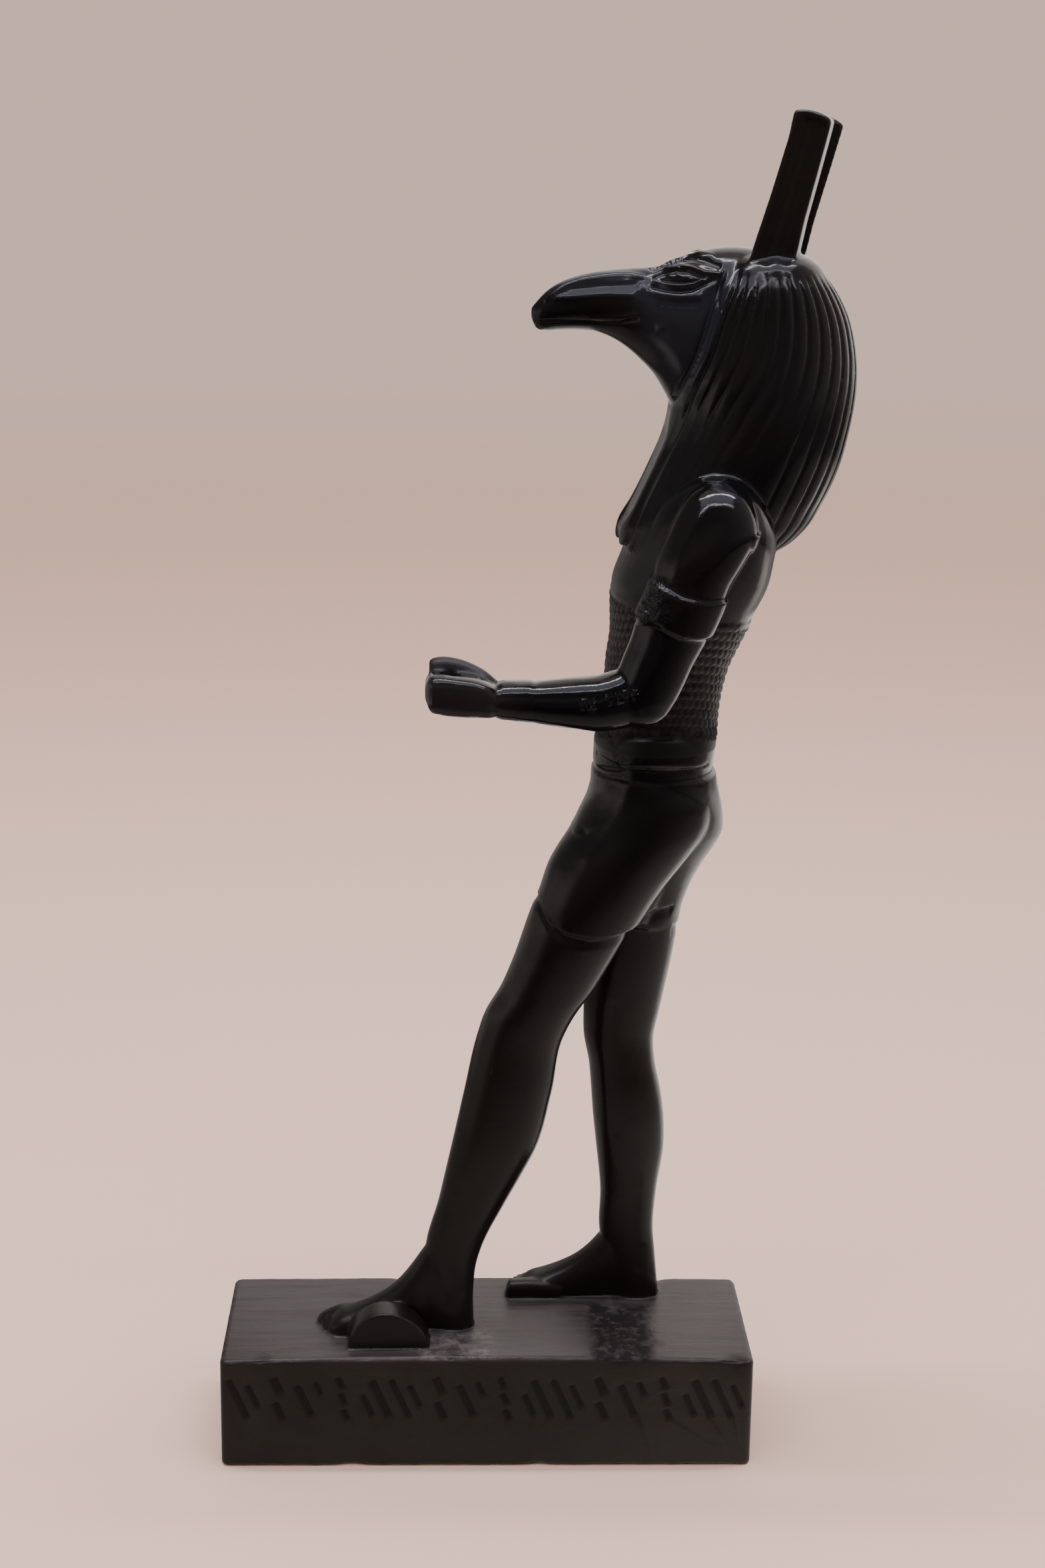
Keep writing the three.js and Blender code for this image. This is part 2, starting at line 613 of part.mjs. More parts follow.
const castBlack = new THREE.MeshStandardMaterial({ color: 0x17181b, roughness: 0.3, metalness: 0 });
const whole = union([plinth().subtract(signs()), halfBlock(), figure()]);
const statuette = new THREE.Mesh(toGeometry(whole), castBlack);
statuette.name = 'statuette';

const group = new THREE.Group();
group.add(statuette);
export default group;
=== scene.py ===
"""Black cast statuette of a striding animal-headed god, one solid casting with its plinth.

Tables and lengths are in millimetres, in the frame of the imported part: +Z up, the figure faces -Y and its
left side is +X. The finished mesh is scaled to metres.
"""

import logging
import math
from dataclasses import dataclass
from enum import Enum
from typing import Callable, Sequence

import bmesh
import bpy
import numpy as np
from mathutils import Matrix, Vector

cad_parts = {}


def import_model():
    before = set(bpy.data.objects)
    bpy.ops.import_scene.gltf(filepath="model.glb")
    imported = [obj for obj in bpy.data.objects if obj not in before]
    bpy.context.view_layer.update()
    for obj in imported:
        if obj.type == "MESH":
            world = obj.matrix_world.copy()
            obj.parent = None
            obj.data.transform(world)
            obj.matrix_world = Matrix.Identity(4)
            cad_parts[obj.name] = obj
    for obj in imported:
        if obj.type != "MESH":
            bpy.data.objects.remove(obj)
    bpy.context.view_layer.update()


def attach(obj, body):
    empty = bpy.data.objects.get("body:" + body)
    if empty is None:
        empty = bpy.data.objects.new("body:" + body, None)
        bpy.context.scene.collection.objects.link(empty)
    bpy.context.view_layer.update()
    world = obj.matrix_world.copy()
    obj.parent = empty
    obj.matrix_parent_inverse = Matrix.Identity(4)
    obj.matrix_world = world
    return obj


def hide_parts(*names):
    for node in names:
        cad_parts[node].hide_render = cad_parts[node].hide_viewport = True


MM = 0.001
MIDLINE = -4.6
Rows = Sequence[tuple[float, float, float, float, float]]
Line = Sequence[tuple[float, float]]
Array = np.ndarray


class Axis(Enum):
    """Direction that a limb's sections follow one another in."""

    UP = "z"
    ALONG = "y"


class Side(Enum):
    """Side of the figure, as a sign of X."""

    LEFT = 1
    RIGHT = -1


# ---------------------------------------------------------------------------------------------------------
# Small helpers


def smooth_curve(places: Array, values: Array, at: Array) -> Array:
    """Values of a smooth curve through points.

    Args:
        places: Rising places of the points.
        values: Values at those places.
        at: Places to read.

    Returns:
        Values at the places to read.
    """
    slopes = np.gradient(values, places)
    k = np.clip(np.searchsorted(places, at, side="right") - 1, 0, len(places) - 2)
    step = places[k + 1] - places[k]
    t = (at - places[k]) / step
    near = (1 + 2 * t) * (1 - t) ** 2 * values[k] + t * (1 - t) ** 2 * step * slopes[k]
    far = t**2 * (3 - 2 * t) * values[k + 1] + t**2 * (t - 1) * step * slopes[k + 1]
    return near + far


def ramp(values: Array, start: float, end: float) -> Array:
    """Smooth step from 0 at the start to 1 at the end, which may be the lower of the two."""
    t = np.clip((values - start) / (end - start), 0, 1)
    return t * t * (3 - 2 * t)


def height_of(line: Line, place: Array | float) -> Array:
    """Height of a line of [Y, Z] points at a place along Y."""
    points = np.array(line)
    return np.interp(place, points[:, 0], points[:, 1])


def distance_to(line: Line, y: Array, z: Array) -> Array:
    """Distance of points to a line of [Y, Z] points, seen from the side.

    Args:
        line: Points of the line.
        y: Y of the points.
        z: Z of the points.

    Returns:
        Distances in millimetres.
    """
    best = np.full(len(y), 1e9)
    for (ay, az), (by, bz) in zip(line[:-1], line[1:]):
        dy, dz = by - ay, bz - az
        t = np.clip(((y - ay) * dy + (z - az) * dz) / (dy * dy + dz * dz), 0, 1)
        best = np.minimum(best, np.hypot(y - ay - t * dy, z - az - t * dz))
    return best


def engraved(lines: Sequence[tuple[Line, float, float]], at: Array, facing: Array) -> Array:
    """Relief of soft lines on the surfaces that face the side.

    Args:
        lines: Points, half width and depth of each line, where a negative depth raises it.
        at: Places of the vertices.
        facing: Their normals.

    Returns:
        How far each vertex moves along its normal.
    """
    made = np.zeros(len(at))
    for points, wide, deep in lines:
        low, high = np.min(points, axis=0) - 3 * wide, np.max(points, axis=0) + 3 * wide
        near = np.all((at[:, 1:] > low) & (at[:, 1:] < high), axis=1) & (np.abs(facing[:, 0]) > 0.15)
        made[near] -= deep * np.exp(-((distance_to(points, at[near, 1], at[near, 2]) / wide) ** 2))
    return made


def solid_of(form: bmesh.types.BMesh, name: str) -> bpy.types.Object:
    """Plain object of a bmesh, linked to the scene.

    Args:
        form: The bmesh, which is freed.
        name: Name of the object.

    Returns:
        The object.
    """
    bmesh.ops.recalc_face_normals(form, faces=form.faces)
    mesh = bpy.data.meshes.new(name)
    form.to_mesh(mesh)
    form.free()
    made = bpy.data.objects.new(name, mesh)
    bpy.context.scene.collection.objects.link(made)
    return made


def pour(form: bmesh.types.BMesh, other: bmesh.types.BMesh) -> None:
    """Adds another bmesh to a bmesh and frees it."""
    mesh = bpy.data.meshes.new("part")
    other.to_mesh(mesh)
    other.free()
    form.from_mesh(mesh)
    bpy.data.meshes.remove(mesh)


def settled(thing: bpy.types.Object) -> bpy.types.Mesh:
    """Mesh of an object with its modifiers applied, after which the object is removed.

    Args:
        thing: The object.

    Returns:
        The finished mesh.
    """
    bpy.context.view_layer.update()
    graph = bpy.context.evaluated_depsgraph_get()
    mesh = bpy.data.meshes.new_from_object(thing.evaluated_get(graph))
    bpy.data.objects.remove(thing)
    return mesh


# ---------------------------------------------------------------------------------------------------------
# Forms


@dataclass(frozen=True)
class Limb:
    """Smooth closed limb through a table of sections.

    Each row is a place on the axis, the low and high side, the half width in X and the middle from the
    figure's midline. The form runs from 2, an ellipse, towards a rounded box.
    """

    rows: Rows
    axis: Axis = Axis.UP
    form: float = 2.2
    sides: int = 48
    pitch: float = 1.5
    grow: float = 0.0
    rise: float = 0.0
    rounded: bool = True
    bottom: Line | None = None
    top: Line | None = None

    def sections(self) -> Array:
        """Sections of the limb at an even pitch, smooth between the rows where it is rounded."""
        table = np.array(sorted(self.rows), float)
        places = table[:, 0]
        if not self.rounded:
            return table
        count = int((places[-1] - places[0]) / self.pitch) + 2
        at = np.unique(np.concatenate([places, np.linspace(places[0], places[-1], count)]))
        return np.column_stack([at] + [smooth_curve(places, table[:, k], at) for k in range(1, 5)])

    def point(self, section: Array, turn: float) -> Vector:
        """Point of a section at an angle.

        Args:
            section: A row of the limb.
            turn: Angle round the section.

        Returns:
            The point.
        """
        place, low, high, half, middle = section
        across = math.copysign(abs(math.cos(turn)) ** (2 / self.form), math.cos(turn))
        along = math.copysign(abs(math.sin(turn)) ** (2 / self.form), math.sin(turn))
        x = MIDLINE + middle + across * (half + self.grow)
        side = (low + high) / 2 + along * ((high - low) / 2 + self.grow)
        level = place + self.rise * across**2
        if self.axis is Axis.ALONG:
            return Vector((x, level, side))
        return Vector((x, side, level))

    def add(self, form: bmesh.types.BMesh) -> None:
        """Adds the limb to a bmesh, cut off below its bottom line and above its top line."""
        limb = new_form()
        sweep(limb, self.sections(), self.sides, self.point)
        for line, reach in ((self.bottom, -50), (self.top, 50)):
            if line:
                far = line[0][1] + reach
                room = bmesh.new()
                slab(room, [*line, (line[-1][0], far), (line[0][0], far)], -60, 60)
                limb = without(limb, room)
        pour(form, limb)


def sweep(
    form: bmesh.types.BMesh, sections: Sequence, sides: int, point: Callable[[Sequence, float], Vector]
) -> None:
    """Extrudes a ring of vertices from section to section and closes both ends.

    Args:
        form: The bmesh that takes the skin.
        sections: Sections in order.
        sides: Vertices in the ring.
        point: Place of a vertex, from its section and its angle.
    """
    turn = form.verts.layers.float["turn"]
    ring = bmesh.ops.create_circle(form, cap_ends=True, segments=sides, radius=1)["verts"]
    edges = list({edge for vert in ring for edge in vert.link_edges})
    for vert in ring:
        vert[turn] = math.atan2(vert.co.y, vert.co.x)
        vert.co = point(sections[0], vert[turn])
    for section in sections[1:]:
        made = bmesh.ops.extrude_edge_only(form, edges=edges)["geom"]
        fresh = {item for item in made if isinstance(item, bmesh.types.BMVert)}
        edges = [item for item in made if isinstance(item, bmesh.types.BMEdge) and fresh.issuperset(item.verts)]
        for vert in fresh:
            vert.co = point(section, vert[turn])
    bmesh.ops.holes_fill(form, edges=edges, sides=0)


def new_form() -> bmesh.types.BMesh:
    """Empty bmesh whose vertices can remember their angle round a section."""
    form = bmesh.new()
    form.verts.layers.float.new("turn")
    return form


def slab(
    form: bmesh.types.BMesh, outline: Line, start: float, end: float, bevel: float = 0.0
) -> list[bmesh.types.BMVert]:
    """Adds a slab over a side outline.

    Args:
        form: The bmesh that takes the slab.
        outline: [Y, Z] points of the outline.
        start: X of one face.
        end: X of the other face.
        bevel: Width of the bevel round both faces.

    Returns:
        The slab's vertices.
    """
    verts = [form.verts.new((start, y, z)) for y, z in outline]
    face = form.faces.new(verts)
    made = bmesh.ops.extrude_face_region(form, geom=[face], use_keep_orig=True)["geom"]
    far = [item for item in made if isinstance(item, bmesh.types.BMVert)]
    bmesh.ops.translate(form, verts=far, vec=(end - start, 0, 0))
    group = set(verts) | set(far)
    edges = list({edge for vert in group for edge in vert.link_edges})
    bmesh.ops.recalc_face_normals(form, faces=list({f for vert in group for f in vert.link_faces}))
    if not bevel:
        return list(group)
    made = bmesh.ops.bevel(
        form, geom=edges, offset=bevel, affect="EDGES", segments=3, profile=0.5, material=-1, clamp_overlap=True
    )
    return list({vert for face in made["faces"] for vert in face.verts} | {v for v in group if v.is_valid})


def without(body: bmesh.types.BMesh, tool: bmesh.types.BMesh) -> bmesh.types.BMesh:
    """Bmesh of a body with a tool's room cut out of it.

    Args:
        body: The body, which is freed.
        tool: The tool, which is freed.

    Returns:
        The cut body.
    """
    blank, cutter = solid_of(body, "blank"), solid_of(tool, "cutter")
    cut = blank.modifiers.new("cut", "BOOLEAN")
    cut.operation, cut.solver, cut.object = "DIFFERENCE", "EXACT", cutter
    mesh = settled(blank)
    bpy.data.objects.remove(cutter)
    made = new_form()
    made.from_mesh(mesh)
    bpy.data.meshes.remove(mesh)
    return made


# ---------------------------------------------------------------------------------------------------------
# Sub-assemblies


@dataclass(frozen=True)
class Plinth:
    """Plinth with worn edges, its top a little lower towards both ends, and the half-round block on it."""

    length: float = 122.0
    width: float = 42.0
    height: float = 27.4
    corner: float = 1.6
    edge: float = 0.7
    droop: float = 0.7
    stations: int = 16
    block_middle: float = -23.6
    block_front: float = 8.4
    block_rear: float = 10.2
    block_height: float = 8.5
    block_face: float = 16.6
    block_root: float = 9.4
    sign_depth: float = 0.5
    sign_pitch: float = 7.4
    sign_first: float = -55.5
    strokes: Sequence[Sequence[tuple[float, float, float, float]]] = (
        ((-1.5, 17, 10.6, 1.8), (1.9, 17.6, 6.2, 1.6)),
        ((0, 20.3, 4.4, 2.2), (0.4, 14, 4.8, 2)),
        ((-1.2, 16.6, 8.4, 2), (2, 19.6, 3.6, 1.6)),
        ((-0.4, 21, 3, 1.8), (0.2, 17, 3.2, 1.8), (0.8, 13, 3, 1.8)),
        ((-1.6, 15.4, 6, 1.7), (1.4, 17, 10.2, 2.1)),
    )
    stroke_lean: float = 24.0
    wear: float = 0.3
    chips: Sequence[tuple[float, float, float, float, float]] = (
        (21, -8.5, 27.4, 1.1, 0.5), (21, 30, 27.2, 1.6, 0.45), (21, -52, 26.6, 1.8, 0.6), (21, 57, 26.8, 2.2, 0.7),
        (21, 12, 0, 2, 0.5), (21, -31, 0, 2.6, 0.6), (-21, -20, 27.4, 2, 0.5), (-21, 41, 27.2, 2.4, 0.6),
        (19, 36, 27.4, 2.2, 0.25), (14, 39, 27.4, 1.6, 0.2),
    )

    def build(self, form: bmesh.types.BMesh) -> None:
        """Adds the plinth and the half-round block to a bmesh."""
        box = bmesh.new()
        bmesh.ops.create_cube(box, size=1)
        bmesh.ops.scale(box, vec=(self.width, self.length, self.height), verts=box.verts)
        bmesh.ops.translate(box, vec=(0, 0, self.height / 2), verts=box.verts)
        upright = [edge for edge in box.edges if abs(edge.verts[0].co.z - edge.verts[1].co.z) > 1]
        bmesh.ops.bevel(box, geom=upright, offset=self.corner, affect="EDGES", segments=4, profile=0.5, material=-1)
        rims = [edge for edge in box.edges if abs(edge.verts[0].co.z - edge.verts[1].co.z) < 1e-4]
        bmesh.ops.bevel(box, geom=rims, offset=self.edge, affect="EDGES", segments=3, profile=0.5, material=-1)
        for k in range(1, self.stations):
            place = self.length * (k / self.stations - 0.5)
            everything = box.verts[:] + box.edges[:] + box.faces[:]
            bmesh.ops.bisect_plane(box, geom=everything, plane_co=(0, place, 0), plane_no=(0, 1, 0))
        for vert in box.verts:
            sink = self.droop * (1 + vert.co.x / self.width) * (2 * vert.co.y / self.length) ** 2
            vert.co.z -= sink * vert.co.z / self.height
        pour(form, box)
        slab(form, self.block_outline(), self.block_root, self.block_face, 0.7)

    def block_outline(self) -> Line:
        """[Y, Z] outline of the half-round block: a steep front flank, a round top and a longer slope."""
        points = []
        for k in range(33):
            angle = math.pi * k / 32
            reach, power = (self.block_front, 1) if angle < math.pi / 2 else (self.block_rear, 1.15)
            rise = max(math.sin(angle), 0) ** power
            points.append((self.block_middle - reach * math.cos(angle), self.height + self.block_height * rise))
        low = self.height - 3
        return [*points, (self.block_middle + self.block_rear, low), (self.block_middle - self.block_front, low)]

    def incised(self, at: Array, facing: Array) -> Array:
        """Where points lie in the row of shallow strokes in the plinth's left side.

        Args:
            at: Places of the points.
            facing: The surface's normals there.

        Returns:
            0 outside the strokes and 1 on their floor.
        """
        made = np.zeros(len(at))
        side = (at[:, 0] > self.width / 2 - 1.2) & (facing[:, 0] > 0.6)
        y, z = at[side, 1], at[side, 2]
        shade_and_patch_dark = np.zeros(len(y))
        count = int((2 * -self.sign_first) / self.sign_pitch) + 1
        lean = math.radians(self.stroke_lean)
        for k in range(count):
            for offset, level, long, wide in self.strokes[k % len(self.strokes)]:
                dy, dz = y - (self.sign_first + k * self.sign_pitch + offset), z - level
                down = dz * math.cos(lean) - dy * math.sin(lean)
                over = dz * math.sin(lean) + dy * math.cos(lean)
                inside = np.minimum(long / 2 - np.abs(down), wide / 2 - np.abs(over))
                shade_and_patch_dark = np.maximum(shade_and_patch_dark, ramp(inside, -0.25, 0.45))
        made[side] = shade_and_patch_dark
        return made

    def carve(self, at: Array, facing: Array) -> Array:
        """Relief of the plinth: its strokes, worn edges and chips.

        Args:
            at: Places of the vertices.
            facing: Their normals.

        Returns:
            How far each vertex moves along its normal.
        """
        depth = -self.sign_depth * self.incised(at, facing)
        corner = 4 * (facing[:, 0] * facing[:, 2]) ** 2 + 4 * (facing[:, 1] * facing[:, 2]) ** 2
        walk = at[:, 1] + 1.7 * at[:, 0]
        uneven = 0.5 + 0.2 * np.sin(0.31 * walk) + 0.18 * np.sin(0.83 * walk + 2) + 0.12 * np.sin(1.9 * walk + 1)
        depth -= self.wear * np.clip(corner, 0, 1) * uneven * (at[:, 2] < self.height + 0.5)
        for x, y, z, size, deep in self.chips:
            depth -= deep * np.exp(-(((at - (x, y, z)) / size) ** 2).sum(1))
        return depth


@dataclass(frozen=True)
class Legs:
    """Striding legs and bare feet, the left one forward."""

    sole: float = 25.8
    ground: float = 27.4
    forward_heel: float = -2.8
    back_heel: float = 42.1
    forward: Rows = (
        (140.5, 13.9, 40.8, 11, 6.4),
        (128.5, 8.8, 33.3, 10.2, 7.9),
        (116.5, 4.8, 26.9, 9.2, 8.3),
        (110.1, 2.1, 23.3, 8.5, 8.4),
        (104.6, -1.1, 19.5, 8, 8.5),
        (99.1, -2.9, 16.8, 7.6, 8.5),
        (85.6, -5.8, 14.3, 7.7, 8.5),
        (71.7, -8.7, 10.8, 7.5, 8.5),
        (65.2, -10.1, 7.6, 6.8, 8.5),
        (58.7, -11.5, 4.2, 5.9, 8.5),
        (47.6, -14.4, -1.2, 4.8, 8.5),
        (42.8, -14.6, -2.6, 4.5, 8.5),
        (36.8, -13.6, -3.2, 4.2, 8.4),
        (25.3, -12, -2.9, 3.9, 8.4),
    )
    back: Rows = (
        (140.5, 23.9, 47.8, 11, -7),
        (126.5, 23.8, 44.6, 10.4, -8.2),
        (112.6, 23.3, 42.4, 9.3, -8.5),
        (99.1, 22.2, 39.9, 7.9, -8.7),
        (93.1, 22.4, 38.8, 7.5, -8.7),
        (86.6, 23.7, 39.3, 7.6, -8.7),
        (80.7, 24.3, 40.6, 7.9, -8.7),
        (73.7, 24.9, 41.7, 7.9, -8.7),
        (66.7, 25.7, 42, 7.3, -8.7),
        (53.8, 27.1, 40.5, 5.4, -8.7),
        (43.8, 27.1, 40, 4.6, -8.7),
        (38.8, 28.1, 40.5, 4.3, -8.6),
        (25.3, 30.9, 41.9, 4, -8.5),
    )
    foot: Rows = (
        (1, 25.8, 31, 2.6, 8.5),
        (3.5, 25.8, 37, 3.7, 8.5),
        (8, 25.8, 43, 4, 8.6),
        (11.5, 25.8, 47.4, 3.8, 8.7),
        (13, 25.8, 45.2, 3.9, 8.8),
        (14.8, 25.8, 42.5, 4, 8.9),
        (17, 25.8, 39.6, 4.2, 9.1),
        (20, 25.8, 36.7, 4.4, 9.3),
        (24, 25.8, 34.2, 4.7, 9.6),
        (28, 25.8, 32.4, 4.9, 9.8),
        (31.5, 25.8, 31.2, 4.8, 9.8),
        (33.5, 25.8, 29.8, 4.2, 9.7),
    )
    relief: Sequence[tuple[Line, float, float]] = (
        (((28.6, 102.4), (28.5, 94.9), (28.6, 88.3), (29.1, 79.7), (30.2, 71.1)), 1.2, 0.35),
        (((-8.5, 42.0), (-7.2, 37.0), (-8.4, 33.6)), 1.6, 0.35),
        (((37.3, 40.0), (36.6, 35.4)), 1.3, 0.3),
    )
    toes: Sequence[tuple[float, float, float, float]] = (
        (6.5, 2.3, 37.2, 13),
        (9.1, 1.6, 36.6, 8.5),
        (10.9, 1.5, 35.9, 8),
        (12.5, 1.4, 34.9, 7.5),
        (13.8, 1.3, 33.6, 7),
    )
    slim: Sequence[tuple[float, float, float]] = (
        (0, 0.2, 0.45), (0.5, 0.4, 0.75), (1.4, 0.56, 0.95), (2.6, 0.68, 1), (5, 0.88, 1),
    )
    blunt: Sequence[tuple[float, float, float]] = (
        (0, 0.68, 0.7), (0.35, 0.88, 0.92), (1.2, 0.95, 1), (2.6, 0.97, 1), (5, 1, 1),
    )

    def build(self, form: bmesh.types.BMesh) -> None:
        """Adds both legs and feet to a bmesh."""
        Limb(self.forward).add(form)
        Limb(self.back).add(form)
        self.add_foot(form, self.forward_heel, Side.LEFT)
        self.add_foot(form, self.back_heel, Side.RIGHT)

    def carve(self, at: Array, facing: Array) -> Array:
        """Relief of the legs: the far calf's crease and the hollows behind the ankles."""
        return engraved(self.relief, at, facing)

    def add_foot(self, form: bmesh.types.BMesh, heel: float, side: Side) -> None:
        """Adds one foot with its five toes.

        Args:
            form: The bmesh that takes the foot.
            heel: Y of the heel.
            side: Side of the figure.
        """
        rows = [(heel - reach, low, high, half, side.value * middle) for reach, low, high, half, middle in self.foot]
        Limb(rows, Axis.ALONG, form=2.6).add(form)
        for middle, radius, reach, length in self.toes:
            top = self.ground + 1.8 * radius
            steps = self.slim if side is Side.LEFT else self.blunt
            rows = [
                (heel - reach + back, self.sole, self.sole + (top - self.sole) * high, wide * radius, side.value * middle)
                for back, high, wide in (*steps, (length, 0.9, 0.95))
            ]
            Limb(rows, Axis.ALONG, form=2.7, sides=24, pitch=0.8).add(form)


@dataclass(frozen=True)
class Dress:
    """Short kilt pulled tight over both thighs, belt and scaled corselet."""

    belt_proud: float = 0.45
    corselet_proud: float = 0.35
    rise: float = 2.8
    trunk_form: float = 2.6
    scale_depth: float = 0.42
    scale_columns: int = 56
    scale_rows: float = 2.0
    forward: Rows = (
        (159.8, 22.3, 48.4, 17.3, 0),
        (156.4, 22.1, 49.2, 17.2, 0.6),
        (153.4, 21.2, 49.6, 16.6, 1.6),
        (150.2, 19.5, 49.4, 15.6, 2.8),
        (146.4, 17.5, 47.9, 14.4, 4.2),
        (143, 15.1, 45.4, 13.5, 5.3),
        (139.4, 12.9, 42.6, 12.7, 6.2),
        (135.3, 11.4, 39.3, 12, 7),
        (131.7, 10.3, 36.8, 11.4, 7.6),
        (127.5, 9.2, 34.3, 10.9, 7.9),
        (122.5, 7.5, 31.4, 10.5, 8.1),
    )
    back: Rows = (
        (159.8, 22.7, 50.2, 17.3, 0),
        (156.4, 22.7, 50.9, 17.3, -0.6),
        (152.4, 22.8, 51.9, 16.6, -1.9),
        (148.4, 22.9, 52.7, 15.7, -3.1),
        (145, 23, 52.8, 14.6, -4.3),
        (141.5, 23.1, 51.4, 13.6, -5.4),
        (137.5, 23.2, 49.2, 12.6, -6.6),
        (132.5, 23.4, 46.7, 11.7, -7.6),
        (127.5, 23.5, 44.9, 11.1, -8.1),
        (120.5, 23.6, 43, 10.6, -8.4),
    )
    web: Rows = (
        (156.4, 23.9, 45.8, 13, 0),
        (146.4, 20.3, 46.8, 10, 0),
        (138.5, 18.3, 43.3, 7.5, 0.5),
        (133, 18, 40.5, 6, 0.8),
        (126, 18.1, 37.2, 5, 1),
        (123.8, 19.9, 36, 4.6, 1),
    )
    hem_forward: Line = ((2, 136.5), (10.2, 132.5), (12.5, 128.7), (16.4, 126), (21.9, 124.9), (26.9, 125.1), (39.8, 127.5))
    hem_back: Line = ((15.9, 127.5), (23.9, 125), (29.9, 122.9), (35.9, 122.1), (51.8, 121.9))
    belt: Rows = (
        (157, 23.4, 48.6, 16.6, 0),
        (161, 23.4, 48.8, 17, 0),
        (161.4, 23.1, 49.2, 17.6, 0),
        (166.7, 23.3, 49.2, 17.2, 0),
        (167.1, 23.8, 48.8, 16.8, 0),
    )
    corselet_top: Line = ((19.9, 201.1), (31.9, 199.9), (47.8, 195.9), (65.8, 193.9))
    torso: Rows = (
        (163.4, 24.1, 49.3, 15.4, 0),
        (166.4, 23.9, 49.6, 16.1, 0),
        (172.4, 24.5, 49.7, 16, 0),
        (178.3, 25.3, 50.3, 16.4, 0),
        (184.3, 25.6, 51.7, 17.8, 0),
        (190.3, 26.4, 54.2, 20, 0),
        (196.3, 26.3, 57, 22.4, 0),
        (202.3, 26.2, 59.8, 24.4, 0),
        (208.2, 28.3, 60.9, 26.2, 0),
        (214.2, 30.3, 61.4, 27.4, 0),
        (219.2, 32.7, 60.2, 27.4, 0),
        (223.2, 35.6, 58.2, 26.2, 0),
        (226.2, 39, 55.2, 24, 0),
        (228, 41.3, 53.3, 20.2, 0),
        (229.8, 43.8, 51.8, 13, 0),
    )

    hem_step: float = 0.4
    relief: Sequence[tuple[Line, float, float]] = (
        (((30.3, 170.3), (28.6, 169.4), (26.9, 167.4), (25.1, 169.4), (22.2, 171.0)), 0.4, 0.35),
        (((33.7, 163.2), (39, 162.9), (47.4, 163.1)), 0.35, 0.3),
        (((22.0, 164.4), (27.3, 163.4), (33.7, 163.2)), 0.35, 0.2),
        (((18.7, 146.8), (19.4, 147.2)), 0.5, -0.2),
        (((21.2, 148.4), (22.7, 149.9)), 0.5, -0.2),
        (((30.5, 160.6), (26.0, 153.0), (20.5, 143.6)), 2.4, -0.3),
    )

    def build(self, form: bmesh.types.BMesh) -> None:
        """Adds torso, corselet, belt and kilt to a bmesh."""
        Limb(self.forward, sides=64, bottom=self.hem_forward).add(form)
        Limb(self.back, sides=64, bottom=self.hem_back).add(form)
        Limb(self.web).add(form)
        Limb(self.belt, sides=64, grow=self.belt_proud, rise=self.rise, rounded=False).add(form)
        Limb(self.torso, sides=72, form=self.trunk_form).add(form)
        chest = [row for row in self.torso if row[0] < 205]
        Limb(chest, sides=72, form=self.trunk_form, grow=self.corselet_proud, top=self.corselet_top).add(form)

    def scaled(self, at: Array) -> tuple[Array, Array, Array, Array]:
        """Where points lie on the corselet.

        Args:
            at: Places of the points.

        Returns:
            How surely each point is on its scales, its height above the rows' bend, and its place across and along
            the body from -1 to 1.
        """
        table = np.array(self.torso)
        x, y, z = at.T
        low, high, half = (np.interp(z, table[:, 0], table[:, k]) for k in (1, 2, 3))
        across, along = (x - MIDLINE) / half, (y - (low + high) / 2) / ((high - low) / 2)
        out = (np.abs(across) ** self.trunk_form + np.abs(along) ** self.trunk_form) ** (1 / self.trunk_form)
        level = z - self.rise * np.clip(across, -1, 1) ** 2
        under = height_of(self.corselet_top, y) - 0.9 - z
        zone = ramp(level, 166.9, 167.7) * ramp(under, 0, 0.6) * ramp(np.abs(out - 1.01), 0.055, 0.035)
        return zone, level, across, along

    def carve(self, at: Array, facing: Array) -> Array:
        """Relief of the corselet's scales, staggered row over row, of the hems and of the belt's lines.

        Args:
            at: Places of the vertices.
            facing: Their normals.

        Returns:
            How far each vertex moves along its normal.
        """
        x, y, z = at.T
        zone, level, across, along = self.scaled(at)
        row = (level - 166.0) / self.scale_rows
        column = np.arctan2(along, across) / (2 * math.pi) * self.scale_columns + 0.5 * (np.floor(row) % 2)
        over, up = 2 * (column % 1) - 1, row % 1
        bead = np.sqrt(np.clip(1 - over**2 * 0.9 - (2 * up - 0.9) ** 2 * 0.85, 0, 1))
        depth = zone * self.scale_depth * (bead * (1.15 - 0.5 * up) - 0.35)
        for hem, on in ((self.hem_forward, x > MIDLINE), (self.hem_back, x < MIDLINE - 2)):
            below = height_of(hem, y) - z
            depth -= self.hem_step * on * ramp(below, -0.1, 0.3) * ramp(below, 3.5, 0.6)
        return depth + engraved(self.relief, at, facing)


